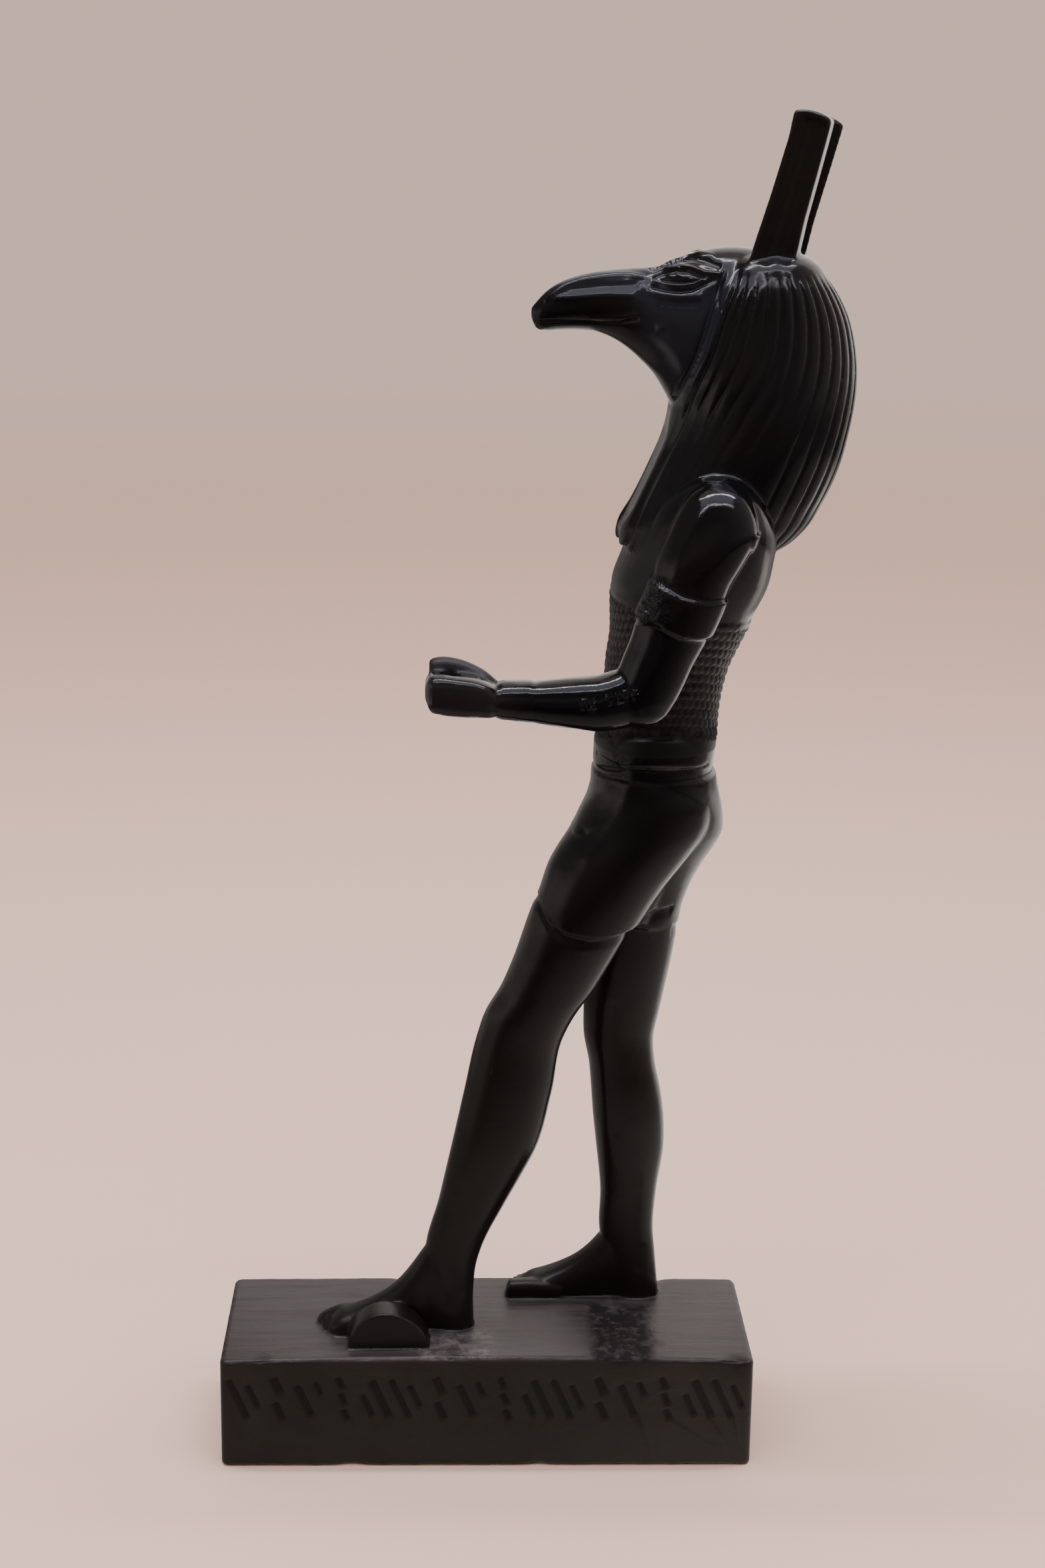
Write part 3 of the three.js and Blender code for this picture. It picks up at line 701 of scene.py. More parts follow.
@dataclass(frozen=True)
class Arms:
    """Bent left arm with band, bracelet and closed hand, and the right arm hanging at the side."""

    band_proud: float = 0.8
    upper: Rows = (
        (226.8, 44, 49.2, 2.5, 22),
        (224.8, 41, 51.7, 5.2, 22.6),
        (221.2, 38.4, 53.8, 7, 23.4),
        (216.2, 35.9, 54.7, 7.8, 24.2),
        (210.7, 33.7, 52.3, 7.8, 24.8),
        (205.3, 32.5, 49.3, 7.5, 25),
        (199.3, 30, 47.2, 7.3, 25),
        (193.8, 28.5, 44.8, 7.1, 25),
        (188.3, 26.5, 42, 6.9, 25),
        (183.3, 25.1, 39.9, 6.7, 25),
        (179.3, 25.1, 37.9, 6.3, 25),
        (176.4, 26.5, 35.7, 5.2, 25),
        (174.8, 28.9, 32.9, 2.6, 25),
    )
    fore: Rows = (
        (32.9, 176.4, 186.3, 4.6, 25),
        (27.9, 174.6, 187.3, 6, 25),
        (22.4, 173.7, 185.8, 6.3, 25),
        (16.9, 174.2, 185.2, 6, 25),
        (11.9, 174.8, 184.6, 5.5, 24.9),
        (6.9, 175.6, 184, 5, 24.8),
        (2, 176.3, 183.4, 4.7, 24.7),
        (-3, 176.9, 183.7, 4.8, 24.6),
    )
    bracelet: Rows = (
        (8.6, 175.6, 184, 4.9, 24.8),
        (7.4, 175.4, 184.5, 5.3, 24.8),
        (1.4, 176.1, 184.3, 5.2, 24.7),
        (0.2, 176.5, 183.6, 4.8, 24.7),
    )
    fist: Rows = (
        (0.9, 177.3, 182.5, 3.6, 24.6),
        (-0.6, 176.8, 183.7, 5.2, 24.6),
        (-3.5, 176.9, 185, 6, 24.6),
        (-8, 177.1, 185.8, 6.4, 24.6),
        (-11.8, 177.6, 186.1, 6.3, 24.6),
        (-14, 178.6, 185.5, 5.6, 24.6),
        (-14.9, 180.7, 183.9, 3.6, 24.6),
    )
    thumb: Rows = (
        (1.2, 182.1, 183.1, 1.2, 22.0),
        (-2, 182.3, 185.7, 2.2, 21.2),
        (-5, 182.7, 187.2, 2.3, 20.6),
        (-8, 183.1, 188.2, 2.3, 20.4),
        (-11, 183.5, 188.6, 2.3, 20.4),
        (-13.4, 184.6, 188.2, 2.1, 20.5),
        (-14.1, 185.6, 187.8, 1.5, 20.6),
    )
    hanging: Rows = (
        (226.8, 44, 49.2, 2.5, -22),
        (224.8, 41, 51.7, 5.2, -22.6),
        (221.2, 38.6, 53.8, 7, -23.4),
        (215.2, 37.2, 54.4, 7.8, -24),
        (194.3, 36.8, 50.2, 7.1, -23.8),
        (175.4, 35.9, 48, 6.3, -22.6),
        (156.4, 33.3, 43.4, 5.2, -22.4),
        (149.4, 32.7, 41.8, 4.7, -22.6),
        (145.5, 31.9, 42.6, 5.2, -22.8),
        (139.5, 30.9, 43.8, 6, -23),
        (133.5, 31.1, 43.2, 6, -23),
        (130.5, 32.5, 41.4, 4.9, -23),
        (129.5, 34.9, 39.2, 2.6, -23),
    )
    band_top: Line = ((27.9, 208.4), (31.7, 206.8), (34.5, 205.4), (38.5, 203.5), (43.6, 202.3), (53.8, 201.9))
    band_bottom: Line = ((24.9, 200.5), (29.2, 199.1), (33.5, 197.6), (38.5, 195.3), (42.5, 194.5), (53.8, 195.1))
    marks: Sequence[tuple[float, float, float, float]] = (
        (18.2, 180.1, 0.5, 0.3), (19.2, 180.6, 0.4, 0.2), (20.6, 179.9, 0.5, 0.28), (21.5, 181.1, 0.6, 0.22),
        (23.0, 181.6, 0.5, 0.2), (24.4, 182.3, 0.5, 0.25), (25.8, 182.9, 0.4, 0.2), (27.3, 182.0, 0.5, 0.25),
        (28.9, 182.8, 0.45, 0.35), (29.1, 182.2, 0.4, 0.25), (29.6, 204.4, 0.7, 0.4), (30.6, 201.8, 0.5, 0.35),
        (32.6, 204.8, 0.5, -0.35), (31.2, 199.9, 0.6, 0.35), (35.0, 201.9, 0.9, -0.2), (33.4, 202.6, 0.5, 0.25),
    )
    socket_radius: float = 2.2
    socket_foot: float = 181.0
    socket_place: tuple[float, float] = (24.9, -9.6)

    def build(self, form: bmesh.types.BMesh) -> None:
        """Adds both arms to a bmesh."""
        Limb(self.upper).add(form)
        Limb(self.upper[3:9], grow=self.band_proud, bottom=self.band_bottom, top=self.band_top).add(form)
        Limb(self.fore, Axis.ALONG, form=2.4).add(form)
        Limb(self.bracelet, Axis.ALONG, form=2.4, rounded=False).add(form)
        Limb(self.hanging).add(form)
        for rows, boxy in ((self.fist, 4.6), (self.thumb, 2.4)):
            piece, drill = new_form(), bmesh.new()
            Limb(rows, Axis.ALONG, form=boxy, pitch=0.8).add(piece)
            radius = self.socket_radius
            bmesh.ops.create_cone(drill, cap_ends=True, segments=32, radius1=radius, radius2=radius, depth=12)
            centre = (MIDLINE + self.socket_place[0], self.socket_place[1], self.socket_foot + 6)
            bmesh.ops.translate(drill, vec=centre, verts=drill.verts)
            pour(form, without(piece, drill))


    def carve(self, at: Array, facing: Array) -> Array:
        """Casting marks on the outside of the bent arm and on its band, as small knobs and dents."""
        depth = np.zeros(len(at))
        outside = (at[:, 0] > MIDLINE + 22) & (facing[:, 0] > 0.1)
        for y, z, size, proud in self.marks:
            away = np.hypot(at[outside, 1] - y, at[outside, 2] - z)
            depth[outside] += proud * np.exp(-((away / size) ** 2))
        return depth


@dataclass(frozen=True)
class Head:
    """Animal head with a long curved snout, striped wig and tall square-cut ears."""

    snout: Rows = (
        (7.3, 259, 261.1, 0.8, 0),
        (8.2, 257, 262.2, 2, 0),
        (10.1, 256.4, 264.3, 3, 0),
        (12.9, 256.5, 266.3, 3.8, 0),
        (16.9, 256.6, 267.9, 4.6, 0),
        (21.9, 256.1, 269, 5.4, 0),
        (26.9, 253.8, 269.6, 6.4, 0),
        (30.9, 250.6, 269.9, 7.6, 0),
        (34.4, 246.9, 270.2, 9, 0),
        (36.8, 243, 271.5, 10.2, 0),
        (39.3, 238.6, 272.4, 11.2, 0),
        (43.8, 236.2, 273.8, 12.4, 0),
        (49.8, 236.2, 274.5, 13.2, 0),
        (56.8, 240.1, 274, 12.4, 0),
    )
    neck: Rows = (
        (220.2, 39.8, 59.8, 9, 0),
        (230.2, 39.4, 59.8, 9.2, 0),
        (238.1, 38.8, 59.8, 9.8, 0),
        (246.1, 38.8, 59.8, 11, 0),
    )
    bell: Sequence[tuple[float, float, float, float]] = (
        (209.3, 29.2, 61.2, 17.4),
        (211, 27.3, 64.4, 18),
        (214, 27.2, 67.8, 18.6),
        (220, 30.3, 71.6, 19.9),
        (228, 34, 75, 20.7),
        (235, 36.7, 76.7, 20.8),
        (241, 37.7, 77.7, 20.6),
        (247, 36.7, 78.1, 20.1),
        (254, 37.5, 77.4, 19),
        (261.1, 40.2, 75.3, 17.5),
        (268, 45.3, 71, 14.8),
        (272.4, 50.4, 66.9, 11.2),
        (274.4, 56.3, 62.3, 6),
    )
    face_edge: Line = (
        (235, 36.5), (241, 38.1), (246.6, 40.3), (250.8, 42.1), (256.6, 44.0), (262.5, 45.5), (269.3, 48.2), (275, 50.3),
    )
    hairline: Line = (
        (209, 27.6), (214.3, 28.9), (220.6, 31.5), (226.2, 34.1), (231.7, 36.7), (237.1, 39.1), (242.6, 40.8),
        (247.2, 42.4), (251.4, 44.2), (256.4, 45.9), (260.6, 47.2), (268, 50.0), (276, 52.4),
    )
    ear_outline: Line = (
        (52.6, 268.1), (54.1, 274.6), (57.4, 285.4), (60.7, 297.1), (61.7, 302.6),
        (64.7, 302.6), (67.5, 301.9), (69.7, 300.6), (67.3, 290.6), (64.8, 280.4), (62.4, 268.1),
    )
    ear_offset: float = 7.3
    ear_thick: float = 7.0
    ear_bevel: float = 0.8
    ear_skew: float = 0.27
    far_shift: float = 2.35
    far_lean: float = 0.03
    locks: int = 13
    lock_depth: float = 0.34
    lock_line: float = 0.38
    rim: float = 2.2
    rim_proud: float = 0.3
    rim_line: float = 0.4
    boxy: float = 3.1
    oval: float = 2.1
    slot: float = 5.2
    slot_depth: float = 0.4
    relief: Sequence[tuple[Line, float, float]] = (
        (((10.3, 263.0), (14.0, 265.8), (18.0, 267.3), (23.3, 268.2), (27.7, 268.5), (30.9, 268.0)), 0.55, -0.34),
        (((12.5, 263.3), (16.5, 263.6), (22.2, 264.2), (28.5, 264.2)), 0.6, -0.26),
        (((16, 265.3), (22, 266.1), (29, 266.4)), 0.9, 0.3),
        (((33.0, 269.9), (35.8, 271.1), (38.6, 271.9), (41.4, 272.1), (44.0, 271.6), (46.4, 270.7)), 0.62, 0.6),
        (((33.8, 271.4), (38.4, 273.4), (41.8, 273.5), (45.0, 272.8)), 0.6, -0.25),
        (((35.6, 269.9), (38.4, 270.5), (41.0, 270.2), (43.6, 269.2), (46.6, 269.0)), 0.34, -0.34),
        (((33.0, 267.9), (35.0, 268.9), (37.6, 269.5), (39.9, 269.3), (42.0, 268.5), (43.4, 267.9)), 0.28, 0.5),
        (((34.6, 267.4), (37.2, 267.1), (39.6, 267.1), (41.8, 267.6)), 0.22, 0.35),
        (((33.1, 267.0), (35.4, 266.5), (38.6, 266.3), (41.2, 266.7), (43.3, 267.8)), 0.34, -0.5),
        (((32.8, 266.0), (34.9, 265.4), (37.8, 265.1), (40.6, 265.5), (43.0, 266.6), (45.2, 267.7)), 0.42, 0.45),
        (((36.4, 268.2), (39.8, 268.2)), 0.5, -0.28),
        (((38.0, 268.5), (38.2, 268.5)), 0.35, -0.25),
        (((32.5, 264.8), (35.4, 264.5), (38.5, 264.1), (42.3, 264.3)), 0.8, -0.3),
        (((34.4, 262.9), (38, 262.6), (42.0, 262.8)), 1.0, 0.3),
        (((56.0, 272), (60.1, 286), (63.9, 300)), 1.2, 0.4),
        (((60.2, 272), (63.3, 286), (66.6, 299.4)), 1.1, 0.35),
        (((8.2, 258.2), (12.5, 258.4), (17.3, 258.4), (22.0, 258.2), (26.1, 258.4), (29.5, 259.2)), 0.38, 0.5),
        (((20, 259.3), (26.1, 259.4), (28.9, 260.0)), 0.5, -0.22),
        (((34.2, 257.6), (34.4, 257.6)), 0.55, -0.35),
        (((46.4, 267.9), (46.3, 262.2), (44.5, 257.3), (43.3, 252.9), (41.2, 248.2)), 0.4, 0.35),
    )

    def build(self, form: bmesh.types.BMesh) -> None:
        """Adds head, neck, wig and ears to a bmesh."""
        Limb(self.snout, Axis.ALONG, form=2.3, sides=64, pitch=1.0).add(form)
        Limb(self.neck).add(form)
        self.add_wig(form)
        self.add_ear(form, self.ear_offset, 0.0, 0.0)
        self.add_ear(form, -self.ear_offset, self.far_shift, self.far_lean)

    def add_wig(self, form: bmesh.types.BMesh) -> None:
        """Adds the wig, a bell of rings that is open at the face, with a shallow parting below the throat."""
        table = np.array(self.bell)
        places = table[:, 0]
        at = np.unique(np.concatenate([places, np.linspace(places[0], places[-1], 60)]))
        rings = np.column_stack([at] + [smooth_curve(places, table[:, k], at) for k in range(1, 4)])
        bell, throat = new_form(), bmesh.new()
        sweep(bell, rings, 120, self.wig_point)
        floor = [(front + self.slot_depth, z) for z, front, *_ in self.bell if z < 246]
        outline = [(10, 200), (floor[0][0], 200), *floor, (40, 246), (10, 246)]
        slab(throat, outline, MIDLINE - self.slot, MIDLINE + self.slot)
        pour(form, without(bell, throat))

    def wig_point(self, ring: Sequence[float], turn: float) -> Vector:
        """Point of the wig's ring: round the outside, and a straight run across the face.

        Args:
            ring: Height, front, rear and half width of the bell there.
            turn: Angle of the point, where the run across the face takes the last tenth.

        Returns:
            The point.
        """
        z, front, rear, half = ring
        middle, depth = (front + rear) / 2, (rear - front) / 2
        form = float(self.section_form(np.array([z]))[0])
        beside = math.asin(min((0.85 * self.slot / half) ** (form / 2), 1))
        edge = float(height_of(self.face_edge, z))
        ahead = max(0, min(1, (middle - edge) / depth)) ** (form / 2)
        start = max(beside, math.acos(ahead)) if z > self.face_edge[0][0] else beside

        def skin(angle: float) -> Vector:
            """Point of the bell at an angle from the front, whose front half is boxier than its back."""
            across, along = math.sin(angle), math.cos(angle)
            if along > 0:
                across = math.copysign(abs(across) ** (2 / form), across)
                along = along ** (2 / form)
            return Vector((MIDLINE + half * across, middle - depth * along, z))

        share = (turn / (2 * math.pi)) % 1
        if share < 0.9:
            return skin(start + (2 * math.pi - 2 * start) * share / 0.9)
        return skin(2 * math.pi - start).lerp(skin(start), (share - 0.9) / 0.1)

    def add_ear(self, form: bmesh.types.BMesh, offset: float, shift: float, lean: float) -> None:
        """Adds one ear, a tall blade with a square-cut top, turned a little outwards.

        Args:
            form: The bmesh that takes the ear.
            offset: Middle of the ear from the midline.
            shift: How far it stands behind the near ear.
            lean: How far it leans forward, in radians.
        """
        root = Vector((MIDLINE + offset, self.ear_outline[0][0] + shift, self.ear_outline[0][1]))
        outline = [(y + shift, z) for y, z in self.ear_outline]
        verts = slab(form, outline, root.x - self.ear_thick / 2, root.x + self.ear_thick / 2, self.ear_bevel)
        for vert in verts:
            vert.co.y += self.ear_skew * (root.x - vert.co.x) * math.copysign(1, offset)
        bmesh.ops.rotate(form, verts=verts, cent=root, matrix=Matrix.Rotation(-lean, 3, "X"))

    def section_form(self, z: Array) -> Array:
        """Form of the bell's front half at a height, boxy at the front ends and oval round the face."""
        return self.boxy + (self.oval - self.boxy) * ramp(z, 214, 252)

    def strands(self, at: Array) -> tuple[Array, Array, Array]:
        """Where points lie on the wig.

        Args:
            at: Places of the points.

        Returns:
            How surely each point is on the wig, its distance behind the hairline in millimetres, and
            the number of its lock, counted from the front band to the middle of the back.
        """
        table = np.array(self.bell)
        x, y, z = at.T
        level = np.clip(z, 209.3, 274.4)
        front, rear, half = (smooth_curve(table[:, 0], table[:, k], level) for k in (1, 2, 3))
        middle, depth = (front + rear) / 2, (rear - front) / 2
        across, along = np.abs(x - MIDLINE) / half, (middle - y) / depth
        form = np.where(along > 0, self.section_form(level), 2)
        across, ahead = across ** (form / 2), np.abs(along) ** (form / 2)
        out = np.hypot(across, ahead) ** (2 / form)
        on = ramp(np.abs(out - 1) * half, 1.3, 0.7) * ramp(z, 209.5, 210.5) * ramp(z, 273, 270)
        places, line = np.array(self.hairline).T
        line = smooth_curve(places, line, level)
        seam = np.arccos(np.clip((middle - line) / depth, 0, 1) ** (self.section_form(level) / 2))
        angle = np.arctan2(across, np.copysign(ahead, along))
        return on, y - line, (angle - seam) / (math.pi - seam) * self.locks

    def carve(self, at: Array, facing: Array) -> Array:
        """Relief of the head: the wig's locks and front bands, eyes, brows, mouth and cheek ridges.

        Args:
            at: Places of the vertices.
            facing: Their normals.

        Returns:
            How far each vertex moves along its normal.
        """
        y, z = at[:, 1], at[:, 2]
        on, behind, lock = self.strands(at)
        groove = np.exp(-((np.abs((lock + 0.5) % 1 - 0.5) * 3.6 / self.lock_line) ** 2)) * (lock > 0.5)
        strength = ramp(z, 270, 265) * np.maximum(ramp(lock, 5.5, 7.5), 0.25 + 0.75 * ramp(z, 230, 250))
        swell = -0.05 * np.cos(2 * math.pi * lock) * (lock > 0)
        depth = on * strength * (swell - self.lock_depth * groove)
        band = ramp(behind, -0.1, -0.5) * ramp(behind, -self.rim - 0.4, -self.rim + 0.2)
        line = np.exp(-((behind / self.rim_line) ** 2))
        depth += on * ramp(z, 271, 267) * (self.rim_proud * band - 0.45 * line)
        edge = y - height_of(self.face_edge, z)
        beside = np.exp(-(((edge + 0.7) / 0.55) ** 2)) * ramp(z, 238, 243) * ramp(z, 271, 268)
        depth -= 0.5 * beside * (np.abs(facing[:, 0]) > 0.3)
        return depth + engraved(self.relief, at, facing)


# ---------------------------------------------------------------------------------------------------------
# Finishes


class Value:
    """Output of a shader node, with arithmetic."""

    def __init__(self, finish: "Nodes", socket: bpy.types.NodeSocket) -> None:
        """Keeps the socket and the node tree that it belongs to."""
        self.finish, self.socket = finish, socket

    def _math(self, operation: str, first: "Value | float", second: "Value | float") -> "Value":
        """Math node of two values."""
        return self.finish.node("ShaderNodeMath", {"operation": operation}, [first, second])

    def __add__(self, other: "Value | float") -> "Value":
        """Sum."""
        return self._math("ADD", self, other)

    __radd__ = __add__

    def __sub__(self, other: "Value | float") -> "Value":
        """Difference."""
        return self._math("SUBTRACT", self, other)

    def __rsub__(self, other: "Value | float") -> "Value":
        """Difference, turned round."""
        return self._math("SUBTRACT", other, self)

    def __mul__(self, other: "Value | float") -> "Value":
        """Product."""
        return self._math("MULTIPLY", self, other)

    __rmul__ = __mul__

    def __truediv__(self, other: "Value | float") -> "Value":
        """Quotient."""
        return self._math("DIVIDE", self, other)

    def __pow__(self, other: "Value | float") -> "Value":
        """Power."""
        return self._math("POWER", self, other)

    def step(self, start: float, end: float) -> "Value":
        """Smooth step from 0 at the start to 1 at the end."""
        settings = {"interpolation_type": "SMOOTHSTEP"}
        low, high, first, last = (start, end, 0.0, 1.0) if start < end else (end, start, 1.0, 0.0)
        return self.finish.node("ShaderNodeMapRange", settings, [self, low, high, first, last])


class Nodes:
    """Node tree under construction."""

    def __init__(self, tree: bpy.types.NodeTree) -> None:
        """Keeps the tree."""
        self.tree = tree

    def node(self, kind: str, settings: dict, inputs: Sequence | dict = (), output: int | str = 0) -> Value:
        """Adds a node.

        Args:
            kind: Type of the node.
            settings: Its settings, set first.
            inputs: Values or links of its sockets, by number or by name.
            output: The output to return.

        Returns:
            That output.
        """
        made = self.tree.nodes.new(kind)
        for key, value in settings.items():
            setattr(made, key, value)
        for key, value in (inputs.items() if isinstance(inputs, dict) else enumerate(inputs)):
            self.feed(made.inputs[key], value)
        return Value(self, made.outputs[output])

    def feed(self, socket: bpy.types.NodeSocket, value: "Value | float | Sequence[float]") -> None:
        """Sets a socket to a value, or links it."""
        if isinstance(value, Value):
            self.tree.links.new(value.socket, socket)
        else:
            socket.default_value = value

    def blend(self, factor: Value | float, first: Value | Sequence[float], second: Value | Sequence[float]) -> Value:
        """Colour mixed from the first to the second."""
        made = self.tree.nodes.new("ShaderNodeMix")
        made.data_type = "RGBA"
        self.feed(made.inputs["Factor"], factor)
        for key, value in ((6, first), (7, second)):
            self.feed(made.inputs[key], value if isinstance(value, Value) else (*value, 1))
        return Value(self, made.outputs[2])


class Shader(Nodes):
    """Material under construction, a Principled shader and its nodes."""

    def __init__(self, name: str) -> None:
        """Starts a material with only its shader and output."""
        self.material = bpy.data.materials.new(name)
        self.material.use_nodes = True
        super().__init__(self.material.node_tree)
        self.surface = self.tree.nodes["Principled BSDF"]

    def place(self, stretch: tuple[float, float, float] = (1, 1, 1)) -> Value:
        """Object coordinates in millimetres, stretched."""
        coordinates = self.node("ShaderNodeTexCoord", {}, (), "Object")
        scale = tuple(s / MM for s in stretch)
        return self.node("ShaderNodeMapping", {}, {"Vector": coordinates, "Scale": scale})

    def noise(self, size: float, detail: float = 3.0, stretch: tuple[float, float, float] = (1, 1, 1)) -> Value:
        """Cloudy noise whose patches are about as large as the size, in millimetres."""
        inputs = {"Vector": self.place(stretch), "Scale": 1 / size, "Detail": detail, "Roughness": 0.6}
        return self.node("ShaderNodeTexNoise", {"noise_dimensions": "3D"}, inputs, "Fac")

    def mark(self, name: str) -> Value:
        """Number that the mesh stores at each vertex."""
        return self.node("ShaderNodeAttribute", {"attribute_name": name}, (), "Fac")

    def relief(self, height: Value, distance: float, under: Value | None = None) -> Value:
        """Bump of a height, at a depth in millimetres, over another bump."""
        inputs = {"Height": height, "Distance": distance * MM, "Strength": 1.0}
        if under is not None:
            inputs["Normal"] = under
        return self.node("ShaderNodeBump", {}, inputs)


@dataclass(frozen=True)
class PolishedCasting:
    """Near-black cast resin, rubbed glossy, a little bluer above and browner on the legs."""

    name: str = "polished black casting"
    cool: tuple[float, float, float] = (0.0028, 0.0030, 0.0038)
    warm: tuple[float, float, float] = (0.0060, 0.0047, 0.0036)
    dust: tuple[float, float, float] = (0.030, 0.026, 0.022)
    # Lighter grey of worn edges, also used for the painted sheen on the fist.
    rubbed_and_sheen: tuple[float, float, float] = (0.014, 0.0135, 0.014)
    # Blue-grey of the painted sheen on the cheek and on the snout's top.
    painted_sheen_grey: tuple[float, float, float] = (0.0105, 0.0125, 0.0175)

    def make(self) -> bpy.types.Material:
        """Builds the material."""
        shader = Shader(self.name)
        x, y, height = (shader.node("ShaderNodeSeparateXYZ", {}, [shader.place()], axis) for axis in "XYZ")
        hollow, edge, scaled = shader.mark("hollow"), shader.mark("edge"), shader.mark("scaled")
        warmth = height.step(185, 60) * 0.8 + height.step(270, 284) * 0.8 + shader.noise(28, 2).step(0.45, 0.7) * 0.35
        base = shader.blend(warmth, self.cool, self.warm)
        base = shader.blend(edge.step(0.25, 1.0) * 0.7, base, self.rubbed_and_sheen)
        base = shader.blend(hollow.step(0.3, 1.0) * shader.noise(5, 3).step(0.42, 0.7) * 0.45, base, self.dust)
        base = shader.blend(scaled * shader.noise(3, 4).step(0.35, 0.65) * 0.35, base, self.dust)
        # Painted sheen: the fist is painted a lighter grey than the rest of the figure, standing in for light falling
        # on it.
        hand = y.step(8, -3) * height.step(168, 174) * height.step(200, 192)
        # Painted sheen: the cheek and the snout's top are painted a lighter blue-grey, standing in for soft light on
        # them.
        cheek = height.step(234, 242) * height.step(270, 264) * y.step(27, 33) * (y - height * 0.35).step(-43.5, -45.5)
        base = shader.blend(hand * 0.7, base, self.rubbed_and_sheen)
        snout_top_sheen = height.step(262.6, 264.6) * y.step(9, 14) * y.step(37, 32)
        base = shader.blend(cheek * 0.8 + snout_top_sheen * 0.9, base, self.painted_sheen_grey)
        smear = shader.noise(9, 4)
        shader.feed(shader.surface.inputs["Base Color"], base)
        ledge = height.step(165.6, 166.4) * height.step(172.0, 171.0)
        dull = height.step(185, 110) * 0.10 + height.step(60, 36) * 0.12 + smear * 0.12 + ledge * 0.3 + 0.10
        chest = y.step(42, 36) * x.step(26, 22) * height.step(197, 201) * height.step(218, 212)
        thumb = x.step(19.4, 18.6) * x.step(12, 13) * y.step(2, 0) * height.step(182.6, 183.6) * height.step(192, 190)
        arm = x.step(14, 17) * height.step(168, 174) * height.step(238, 228)
        dull = dull - arm * 0.05
        back = y.step(46, 50) * x.step(15, 11) * height.step(196, 199) * height.step(222, 216)
        snout = height.step(244, 250) * y.step(37, 31)
        dull = dull + hollow * 0.16 + scaled * 0.28 + chest * 0.25 + thumb * 0.35 + back * 0.35 + snout * 0.04
        shader.feed(shader.surface.inputs["Roughness"], dull)
        row = height - y * 0.215
        scar = x.step(18, 19) * y.step(17.0, 18.5) * y.step(30.5, 29) * row.step(175.0, 175.8) * row.step(178.0, 177.2)
        band = x.step(16, 18) * y.step(37.5, 33) * height.step(197, 199) * height.step(208, 206)
        lumps = scar * shader.noise(1.3, 2).step(0.55, 0.66) + band * shader.noise(1.6, 3)
        skin = shader.relief(shader.noise(7, 2), 0.10)
        skin = shader.relief(lumps, 0.7, skin)
        grain = shader.relief(shader.noise(0.8, 3), 0.018, skin)
        shader.feed(shader.surface.inputs["Normal"], grain)
        shader.surface.inputs["IOR"].default_value = 1.38
        return shader.material


@dataclass(frozen=True)
class ScuffedPlinth:
    """The same casting on the plinth: duller, streaked along its length and worn grey at its edges."""

    name: str = "scuffed black plinth"
    dark: tuple[float, float, float] = (0.0115, 0.0093, 0.0074)
    pale: tuple[float, float, float] = (0.0180, 0.0148, 0.0120)
    # Grey of the dust streaks on the top, and of a painted sheen that lightens the whole top.
    dust_and_top_sheen: tuple[float, float, float] = (0.046, 0.039, 0.041)
    rubbed_and_sheen: tuple[float, float, float] = (0.030, 0.027, 0.025)
    # Dark of the painted shade in the plinth's hollows and strokes, also used for the darker rough patch.
    shade_and_patch_dark: tuple[float, float, float] = (0.0015, 0.0012, 0.0010)
    pale_patch_tone: tuple[float, float, float] = (0.16, 0.145, 0.14)
    top: float = 26.4

    def make(self) -> bpy.types.Material:
        """Builds the material."""
        shader = Shader(self.name)
        hollow, edge, incised = shader.mark("hollow"), shader.mark("edge"), shader.mark("incised")
        streak = shader.noise(2.2, 4, (1, 0.09, 1))
        cloud = shader.noise(14, 4)
        along, across = (shader.node("ShaderNodeSeparateXYZ", {}, [shader.place()], axis) for axis in "YX")
        blur = shader.noise(3.5, 4) * 4
        rough = (along + blur).step(24.5, 28) * (along - blur).step(38, 34.5) * (across + blur).step(-6, -2)
        base = shader.blend(cloud.step(0.35, 0.7) * 0.6 + streak.step(0.5, 0.75) * 0.3, self.dark, self.pale)
        height = shader.node("ShaderNodeSeparateXYZ", {}, [shader.place()], "Z")
        # Dust streaks on the top, over a painted sheen that lightens the whole top evenly.
        dust = height.step(self.top - 0.4, self.top + 0.6) * (streak.step(0.30, 0.62) * 0.6 + 0.4)
        base = shader.blend(dust, base, self.dust_and_top_sheen)
        # A pale speckled patch on the top, in front of the forward heel.
        pale = (along + blur).step(-17, -11) * (along - blur).step(2, -4) * across.step(4, 11) * height.step(self.top, self.top + 0.8)
        base = shader.blend(pale * shader.noise(2.6, 4).step(0.36, 0.68) * 0.55, base, self.pale_patch_tone)
        rough = rough * height.step(self.top - 0.4, self.top + 0.4)
        base = shader.blend(rough * shader.noise(2.8, 4).step(0.66, 0.46) * 0.95, base, self.shade_and_patch_dark)
        base = shader.blend(edge.step(0.2, 0.9) * shader.noise(3, 3).step(0.35, 0.6) * 0.7, base, self.rubbed_and_sheen)
        # Painted shade: the hollows and the incised strokes are painted darker.
        base = shader.blend(hollow.step(0.15, 0.8) * 0.5 + incised * 0.45, base, self.shade_and_patch_dark)
        shader.feed(shader.surface.inputs["Base Color"], base)
        shader.feed(shader.surface.inputs["Roughness"], streak * 0.18 + cloud * 0.12 + incised * 0.3 + rough * 0.4 + 0.26)
        skin = shader.relief(streak + rough * shader.noise(1.6, 4) * 3, 0.09)
        grain = shader.relief(shader.noise(1.1, 4), 0.05, skin)
        shader.feed(shader.surface.inputs["Normal"], grain)
        shader.surface.inputs["IOR"].default_value = 1.38
        return shader.material


# ---------------------------------------------------------------------------------------------------------
# The casting


